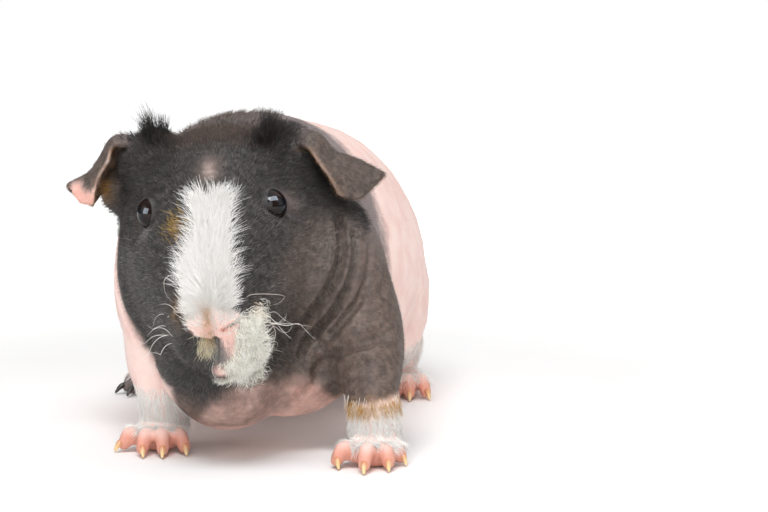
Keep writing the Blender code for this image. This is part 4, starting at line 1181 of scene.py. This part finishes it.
def whisker_runs(bvh, rng):
    """The photo's long curled whiskers, and more on both sides of the muzzle."""
    runs = [photo_run(bvh, rows) for rows in PHOTO_WHISKERS]
    t = np.linspace(0, 1, WHISKER_STEPS)[:, None]
    for n in range(MORE_WHISKERS):
        left = 1 if n % 2 else -1
        middle = head_point(rng.uniform(7, 15), 0, rng.uniform(-15, -2))
        way = head_way(0, left, 0)
        start = first_hit(bvh, middle + 60 * way, -way)
        if start is None:
            continue
        run = unit(head_way(rng.uniform(0.3, 0.9), left, rng.uniform(-0.5, 0.2)))
        long = rng.uniform(7, 17)
        side = unit(np.cross(run, head_way(0, 0, 1)))
        curl = rng.uniform(1.2, 3.4) * t**1.2
        phase = rng.uniform(0, 6.3) + t * rng.uniform(4, 10)
        path = start - 0.8 * run + run * long * t + (0, 0, -1) * (rng.uniform(1, 6) * t**2)
        runs.append(path + curl * (np.cos(phase) - math.cos(phase[0, 0])) * side
                    + curl * (np.sin(phase) - math.sin(phase[0, 0])) * np.cross(side, run))
    return np.array(runs)


def tuft(name, tree, finish, bvh, back, side, rng):
    """A brush of black hair between the blaze and an ear: locks that lean together like small flames."""
    left = 1 if side > 0 else -1
    t = np.linspace(0, 1, TUFT_STEPS)[:, None]
    locks = []
    for lock in range(TUFT_LOCKS):
        place = rng.uniform(-1, 1, 2)
        lean = head_way(0.1 + 0.25 * place[0], (0.1 + 0.35 * place[1]) * left, 1)
        bow = head_way(rng.uniform(-0.3, 0.3), rng.normal(0, 0.35), 0)
        locks.append((place, unit(lean), bow, rng.uniform(9, 14.5) - 5 * abs(place[1])))
    runs = []
    for n in range(round(TUFT_HAIRS * max(HAIR_SHARE, 0.6))):
        place, lean, bow, high = locks[rng.integers(TUFT_LOCKS)]
        loose = rng.random() < 0.45
        spread = 2.6 if loose else 1.0
        root_back = back + 4.2 * place[0] + rng.normal(0, spread)
        start = head_point(root_back, side + 3.0 * place[1] * left + rng.normal(0, spread), 60)
        root = first_hit(bvh, start, head_way(0, 0, -1))
        if root is None:
            continue
        long = rng.uniform(2.0, 5.5) if loose else high * rng.uniform(0.6, 1.1)
        way = unit(lean + rng.normal(0, 0.28 if loose else 0.14, 3))
        run = root - 0.6 * way + way * long * t + (bow + rng.normal(0, 0.2, 3)) * long * 0.5 * t**2
        runs.append(run)
    runs = np.array(runs)
    thickness = TUFT_WIDTH / 2 * (1 - 0.85 * t[:, 0] ** 1.4) * rng.uniform(0.7, 1.2, (len(runs), 1))
    facts = {"vary": rng.random(len(runs)), "stain": np.zeros(len(runs))}
    obj = tubes(name, tree, runs, thickness, HAIR_SIDES, finish, facts)
    patch_map(obj, TUFT_STEPS, HAIR_SIDES, unwrap_head(runs[:, 0]))
    return obj


def finished(obj, name, slot_name, *nodes):
    """A piece of the model: named, on the pig's one body, with the solids it replaces hidden. Its slot name
    is not used.
    """
    obj.name = obj.data.name = name
    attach(obj, "root")
    if nodes:
        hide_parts(*nodes)
    return obj


def over_head(rule):
    """The lie of hair on the head, by a rule from back, side and up to a direction in the same terms."""
    def way(roots):
        back, side, up = np.broadcast_arrays(*rule(*head_terms(roots).T))
        return np.stack([side, back, up], 1) @ HEAD_TURN.T
    return way


def blaze_rule(back, side, up):
    across = np.clip((side + 1.4) / 9, -1.2, 1.2)
    low = 1 - smooth(back, 3, 13)
    return 1 - 0.4 * low, across * (0.22 + 0.25 * low), 0.1 - 0.15 * low


blaze_way = over_head(blaze_rule)
blaze_edge_way = over_head(lambda back, side, up: (1, 0.75 * np.sign(side + 1.4), 0.25))
head_coat_way = over_head(lambda back, side, up: (1, 0.012 * side, -0.25 - 0.02 * np.maximum(0, -up)))
temple_way = over_head(lambda back, side, up: (0.5, 0.9 * np.sign(side), -0.5))
lip_way = over_head(lambda back, side, up: (0.25, 0.05 * side, -1))
fringe_way = over_head(lambda back, side, up: (-0.8, 0.08 * (side - 4), -0.4))
nose_way = over_head(lambda back, side, up: (0.3, 0.12 * (side + 1), 1))
nape_way = over_head(lambda back, side, up: (0.6, 0.03 * side, 0.8))


def body_coat_way(roots):
    return np.array([0.0, 0.8, -0.55]) + 0.006 * (roots - (3, 0, 0)) * (1, 0, 0)


def leg_coat_way(roots):
    out = units((roots - leg_axes(roots)[1]) * (1, 1, 0))
    return np.array([0, 0, -1.0]) + 0.2 * out


def ear_way(roots):
    """From the ear's root outwards."""
    bases = np.array([head_point(*place) for place in EAR_PLACES])
    return units(roots - bases[(roots[:, 0] >= NOSE[0]).astype(int)])


def area_light(name, place, size, power, colour=(1, 1, 1), height=None, only=None):
    """A flat lamp that faces the pig, in metres from it. With `only` it lights only that collection."""
    light = bpy.data.lights.new(name, "AREA")
    light.energy, light.color, light.size = power, colour, size
    if height:
        light.shape, light.size_y = "RECTANGLE", height
    obj = in_scene(name, light)
    target = Vector(SHIFT) * MM + Vector(LIGHT_TARGET)
    obj.location = target + Vector(place)
    obj.rotation_mode = "QUATERNION"
    obj.rotation_quaternion = (target - obj.location).to_track_quat("-Z", "Y")
    obj.visible_camera = False
    if only:
        obj.light_linking.receiver_collection = only
    return obj


def studio(eyeballs):
    """A plain white floor, a bright room without corners, soft lamps and the camera."""
    bm = bmesh.new()
    bmesh.ops.create_circle(bm, cap_ends=True, radius=FLOOR_RADIUS, segments=FLOOR_SIDES)
    floor = new_object("floor", bm)
    made, tree, shader = new_material("white paper")
    paper = mixed(tree, noise(tree, 30, 5), (0.90, 0.885, 0.87), (0.93, 0.92, 0.91))
    place = node(tree, "ShaderNodeTexCoord").outputs["Object"]
    away = node(tree, "ShaderNodeVectorMath", {"operation": "LENGTH"}, n0=place).outputs["Value"]
    feed(shader, Base_Color=paper, Roughness=0.85, Emission_Color=(1, 1, 1, 1),
         Emission_Strength=stepped(tree, away, 0.16, 0.75))
    floor.data.materials.append(made)
    for vertex in floor.data.vertices:
        vertex.co.z = -FLOOR_DROP

    world = bpy.data.worlds.new("bright room")
    bpy.context.scene.world = world
    world.use_nodes = True
    tree = world.node_tree
    tree.nodes.clear()
    seen = node(tree, "ShaderNodeBackground", None, Color=(1, 1, 1, 1), Strength=1.0).outputs[0]
    lit = node(tree, "ShaderNodeBackground", None, Color=(0.96, 0.98, 1, 1), Strength=ROOM_LIGHT).outputs[0]
    share = node(tree, "ShaderNodeLightPath").outputs["Is Camera Ray"]
    mix = node(tree, "ShaderNodeMixShader", None, n0=share, n1=lit, n2=seen)
    node(tree, "ShaderNodeOutputWorld", None, Surface=mix.outputs["Shader"])

    # Each lamp: its place from the pig, its width, its power, its colour and its height.
    lamps = {"window": ((0.02, -0.62, 0.92), 0.5, KEY_POWER, (0.97, 0.98, 1), 0.42),
             "ceiling": ((0.1, 0.35, 1.25), 1.7, TOP_POWER),
             "left fill": ((-1.1, -0.35, 0.5), 0.8, FILL_POWER),
             "right fill": ((1.1, -0.1, 0.5), 0.8, FILL_POWER),
             "front fill": ((0.3, -1.6, 0.5), 1.0, FRONT_POWER)}
    for name, lamp in lamps.items():
        area_light(name, *lamp)
    # Softboxes that show in the eyes alone.
    wet = bpy.data.collections.new("eyeballs")
    for eye in eyeballs:
        wet.objects.link(eye)
    area_light("left softbox", (0.47, -0.42, 0.86), 1.0, EYE_LIGHT, BLUE_WHITE, 0.5, wet)
    area_light("right softbox", (-0.80, -0.62, 0.33), 0.6, 0.6 * EYE_LIGHT, BLUE_WHITE, 0.6, wet)

    lens = bpy.data.cameras.new("camera")
    lens.sensor_width, lens.lens = 36, FOCAL_PIXELS / PHOTO_WIDE * 36
    lens.clip_start, lens.clip_end = 0.01, 50
    camera = in_scene("camera", lens)
    camera.location = Vector(CAMERA + SHIFT) * MM
    camera.rotation_mode = "QUATERNION"
    camera.rotation_quaternion = Vector(CAMERA_FORWARD).to_track_quat("-Z", "Y")
    bpy.context.scene.camera = camera
    bpy.context.scene.view_settings.view_transform = "Standard"


eye_low, eye_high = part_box("eye_left")
SHIFT = np.array((eye_low + eye_high) / 2) / MM - eye_centre(1)

body = skin()
points = vertices(body.data)
marks = markings(points)
for label in SKIN_MARKS:
    store(body.data, label, marks[label])
surface = Surface(body.data)
bvh = BVHTree.FromPolygons([tuple(p * MM) for p in surface.points], surface.corners.tolist())
pigment, relief, shade = pigment_group(), relief_group(), shade_group()
body.data.materials.append(skin_material(pigment, relief))
body.data.shade_smooth()
placed(body.data)
FLESH = [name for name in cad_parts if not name.startswith(("claw_", "eye_"))]
finished(body, "skin", "body_skin", *FLESH)

eyes = eye_material()
eyeballs = [finished(eyeball(left, eyes), title + "ball", "eye", title)
            for left, title in ((1, "eye_left"), (-1, "eye_right"))]

hair_tree = tube_tree()
pale_horn = claw_material("pale horn", (0.62, 0.24, 0.14), (0.80, 0.60, 0.30), (0.72, 0.42, 0.18))
dark_horn = claw_material("black horn", (0.020, 0.016, 0.016), (0.05, 0.045, 0.045), (0.08, 0.07, 0.065))
CLAW_NODES = [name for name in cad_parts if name.startswith("claw_")]
DARK_NODES = [name for name in CLAW_NODES if "hind_right" in name]
PALE_NODES = [name for name in CLAW_NODES if name not in DARK_NODES]
pale_feet = [place for name, place in FEET.items() if name != "hind_right"]
finished(claws("pale_claws", hair_tree, pale_horn, pale_feet), "pale_claws", "claw", *PALE_NODES)
finished(claws("dark_claws", hair_tree, dark_horn, [FEET["hind_right"]]), "dark_claws", "dark_claw",
         *DARK_NODES)


def grow(name, kind, finish, density, count, way, length, lift, width, rng, unwrap=unwrap_head, **more):
    """A piece of the coat on the finished skin; its kind is passed on unused."""
    hairs = coat(name, surface, hair_tree, finish, unwrap, density, count, way, length, lift, width, rng,
                 **more)
    return finished(hairs, name, kind)


# The coat. Each zone is a density for every triangle of the skin.
where = markings(surface.centres)
back, side, up = head_terms(surface.centres).T
x, y, z = surface.centres.T
clear_eyes = smooth(eye_distance(surface.centres), 8.0, 10.5)
on_ears = where["down"] > 0.08
head_zone = where["head"] * clear_eyes * (1 - where["blaze"]) * (1 - where["pad"]) * ~on_ears
white = hair_material("white hair", shade, (0.90, 0.86, 0.81), (0.98, 0.97, 0.95), contrast=0.2)
cream = hair_material("cream hair", shade, (0.90, 0.86, 0.74), (1.0, 0.99, 0.93), contrast=0.8)
yellow = hair_material("yellow hair", shade, (0.55, 0.44, 0.27), (0.90, 0.83, 0.62), contrast=0.5)
golden = hair_material("golden hair", shade, (0.36, 0.20, 0.04), (0.66, 0.44, 0.12), contrast=0.6)
silver = hair_material("grey hair", shade, (0.10, 0.09, 0.09), (0.50, 0.49, 0.49), contrast=0.8)
black = hair_material("black hair", shade, (0.010, 0.009, 0.010), (0.045, 0.038, 0.036), contrast=0.8)
brown = hair_material("brown hair", shade, (0.020, 0.016, 0.015), (0.16, 0.11, 0.085), contrast=0.8)
dusky = hair_material("dusky hair", shade, (0.008, 0.0075, 0.008), (0.085, 0.078, 0.070), contrast=1.2)
fuzz = fuzz_material("short fuzz", pigment, (0.70, 0.65, 0.59), 0.8)
down_hair = fuzz_material("fine down", pigment, (0.85, 0.80, 0.76), 0.5)

rng = np.random.default_rng(7)
blaze_zone = where["blaze"] * clear_eyes * (1 - where["pad"])
blaze_edge = 4 * where["blaze"] * (1 - where["blaze"]) * clear_eyes * (1 - where["pad"]) * (back > 8)
grow("blaze_under", "hair", white, blaze_zone, 8500, blaze_way, 3.2, (0.4, 1.0), 0.19, rng, steps=3,
     bend=(0.05, 0.35), clump=0.3, clumps=0.09)
grow("blaze_hair", "hair", white, blaze_zone, 4600, blaze_way, 6.4, (0.4, 1.0), 0.18, rng, steps=5,
     bend=(0.05, 0.3), clump=0.6, clumps=0.07)
grow("blaze_edge", "hair", white, blaze_edge, 800, blaze_edge_way, 8.6, (0.5, 1.3), 0.17, rng, steps=7,
     bend=(0.1, 0.5), clump=0.6, clumps=0.16)
grow("lip_hair", "hair", cream, where["curls"], 3000, lip_way, 4.2, (0.7, 2.2), 0.19, rng, steps=9,
     bend=(0.1, 1.0), curl=1.1, turns=(6, 11), clump=0.75, clumps=0.04)
fringe_zone = bump(up + 27.5, 0, 1.5) * smooth(side, -3, 0) * (1 - smooth(side, 10, 14)) * (back < 18)
grow("chin_fringe", "hair", cream, fringe_zone, 700, fringe_way, 3.0, (0.3, 1.0), 0.16, rng, steps=5,
     bend=(0.1, 0.5), clump=0.5)
nose_zone = where["pad"] * (0.35 + 0.65 * smooth(up, -2, 3)) * (up > -4.5)
nose_zone += 0.5 * smooth(up, 0, 4) * where["blaze"] * (back < 9)
grow("nose_hair", "hair", white, nose_zone, 2300, nose_way, 1.9, (0.2, 0.9), 0.13, rng, steps=3,
     bend=(0, 0.6))
grow("lip_tuft", "hair", yellow, where["moustache"], 420, lip_way, 2.3, (0.2, 0.9), 0.13, rng, steps=5,
     bend=(0.1, 0.6), clump=0.5, clumps=0.08)
grow("grey_lip_hair", "dark_hair", silver, where["grey_lip"], 560, lip_way, 2.4, (0.2, 0.9), 0.11, rng,
     steps=5, bend=(0.1, 0.8), curl=0.4)
gold_zone = where["temple"] + 0.8 * where["whisker_root"]
grow("golden_hair", "hair", golden, gold_zone * clear_eyes, 95, blaze_edge_way, 4.4, (0.2, 0.9), 0.13,
     rng, steps=6, bend=(0.1, 0.8), clump=0.4, clumps=0.1)
for n in range(HEAD_FUZZ_PIECES):
    rng = np.random.default_rng(20 + n)
    grow(f"head_fuzz_{n + 1}", "dark_hair", fuzz, head_zone, 12600, head_coat_way, 1.6, (0.3, 0.9),
         0.10, rng, steps=2, bend=(0, 0.3))
rng = np.random.default_rng(31)
neck_zone = np.clip(where["cape"] + 0.35 * (y < 30), 0, 1) * (1 - where["head"]) * ~on_ears * (z > 20)
grow("neck_fuzz", "dark_hair", fuzz, neck_zone, 13500, body_coat_way, 1.3, (0.25, 0.7), 0.09, rng,
     steps=2, unwrap=unwrap_body)
body_zone = (1 - where["head"]) * (1 - 0.8 * where["cape"]) * ~on_ears * smooth(z, 16, 30)
grow("body_down", "hair", down_hair, body_zone, 9000, body_coat_way, 1.1, (0.3, 0.8), 0.06, rng,
     steps=2, unwrap=unwrap_body)
fore_legs = np.minimum(np.hypot(x + 30.5, y + 9), np.hypot(x - 49.5, y + 31)) < 13.5
leg_zone = np.where(y < 60, fore_legs, 0.3 * (np.abs(x - 3) > 25))
leg_zone = smooth(z, 5.5, 9) * (1 - smooth(z, 20, 25)) * leg_zone
grow("leg_hair", "hair", white, leg_zone, 12500, leg_coat_way, 4.2, (0.08, 0.38), 0.23, rng, steps=3,
     bend=(0, 0.35), clump=0.3, clumps=0.08, unwrap=unwrap_legs)
nape_zone = (bump(back, 84, 8) + 0.7 * smooth(z, 108, 114)) * (np.abs(side) < 22) * (up > 12) * (y < 34)
grow("nape_hair", "dark_hair", brown, nape_zone, 4200, nape_way, 2.6, (0.6, 1.4), 0.13, rng, steps=3,
     bend=(0, 0.5))
temples = bump(back, 76, 13) * smooth(np.abs(side), 12, 19) * (up > -2) * clear_eyes * (where["down"] < 0.1)
grow("temple_hair", "dark_hair", dusky, temples, 8000, temple_way, 3.4, (0.25, 0.9), 0.115, rng,
     steps=3, bend=(0, 0.5), clump=0.3)
ear_zone = smooth(where["down"], 0.5, 0.95) + 0.5 * (where["down"] > 0.1)
grow("ear_hair", "hair", fuzz, ear_zone, 9000, ear_way, 1.6, (0.3, 0.9), 0.075, rng, steps=2, bend=(0, 0.4))
for n, (back_place, side_place) in enumerate(TUFTS):
    title = ("tuft_right", "tuft_left")[n]
    tuft_zone = bump(back, back_place + 1, 6.5) * bump(side, side_place * 1.05, 8) * (up > 15)
    rng = np.random.default_rng(61 + n)
    grow(title + "_base", "dark_hair", black, tuft_zone, 1500, nape_way, 2.6, (0.6, 1.5), 0.13, rng,
         steps=3, bend=(0, 0.5))
    rng = np.random.default_rng(41 + n)
    finished(tuft(title, hair_tree, black, bvh, back_place, side_place, rng), title, "dark_hair")

runs = whisker_runs(bvh, np.random.default_rng(51))
taper = WHISKER_WIDTH / 2 * (1 - 0.8 * np.linspace(0, 1, WHISKER_STEPS) ** 1.5) * np.ones((len(runs), 1))
facts = {"vary": np.linspace(0, 1, len(runs)), "stain": np.linspace(1, 0, len(runs)) ** 4}
whiskers = tubes("whiskers", hair_tree, runs, taper, WHISKER_SIDES, white, facts)
patch_map(whiskers, WHISKER_STEPS, WHISKER_SIDES, unwrap_head(runs[:, 0]))
finished(whiskers, "whiskers", "hair")

studio(eyeballs)

bpy.context.view_layer.update()
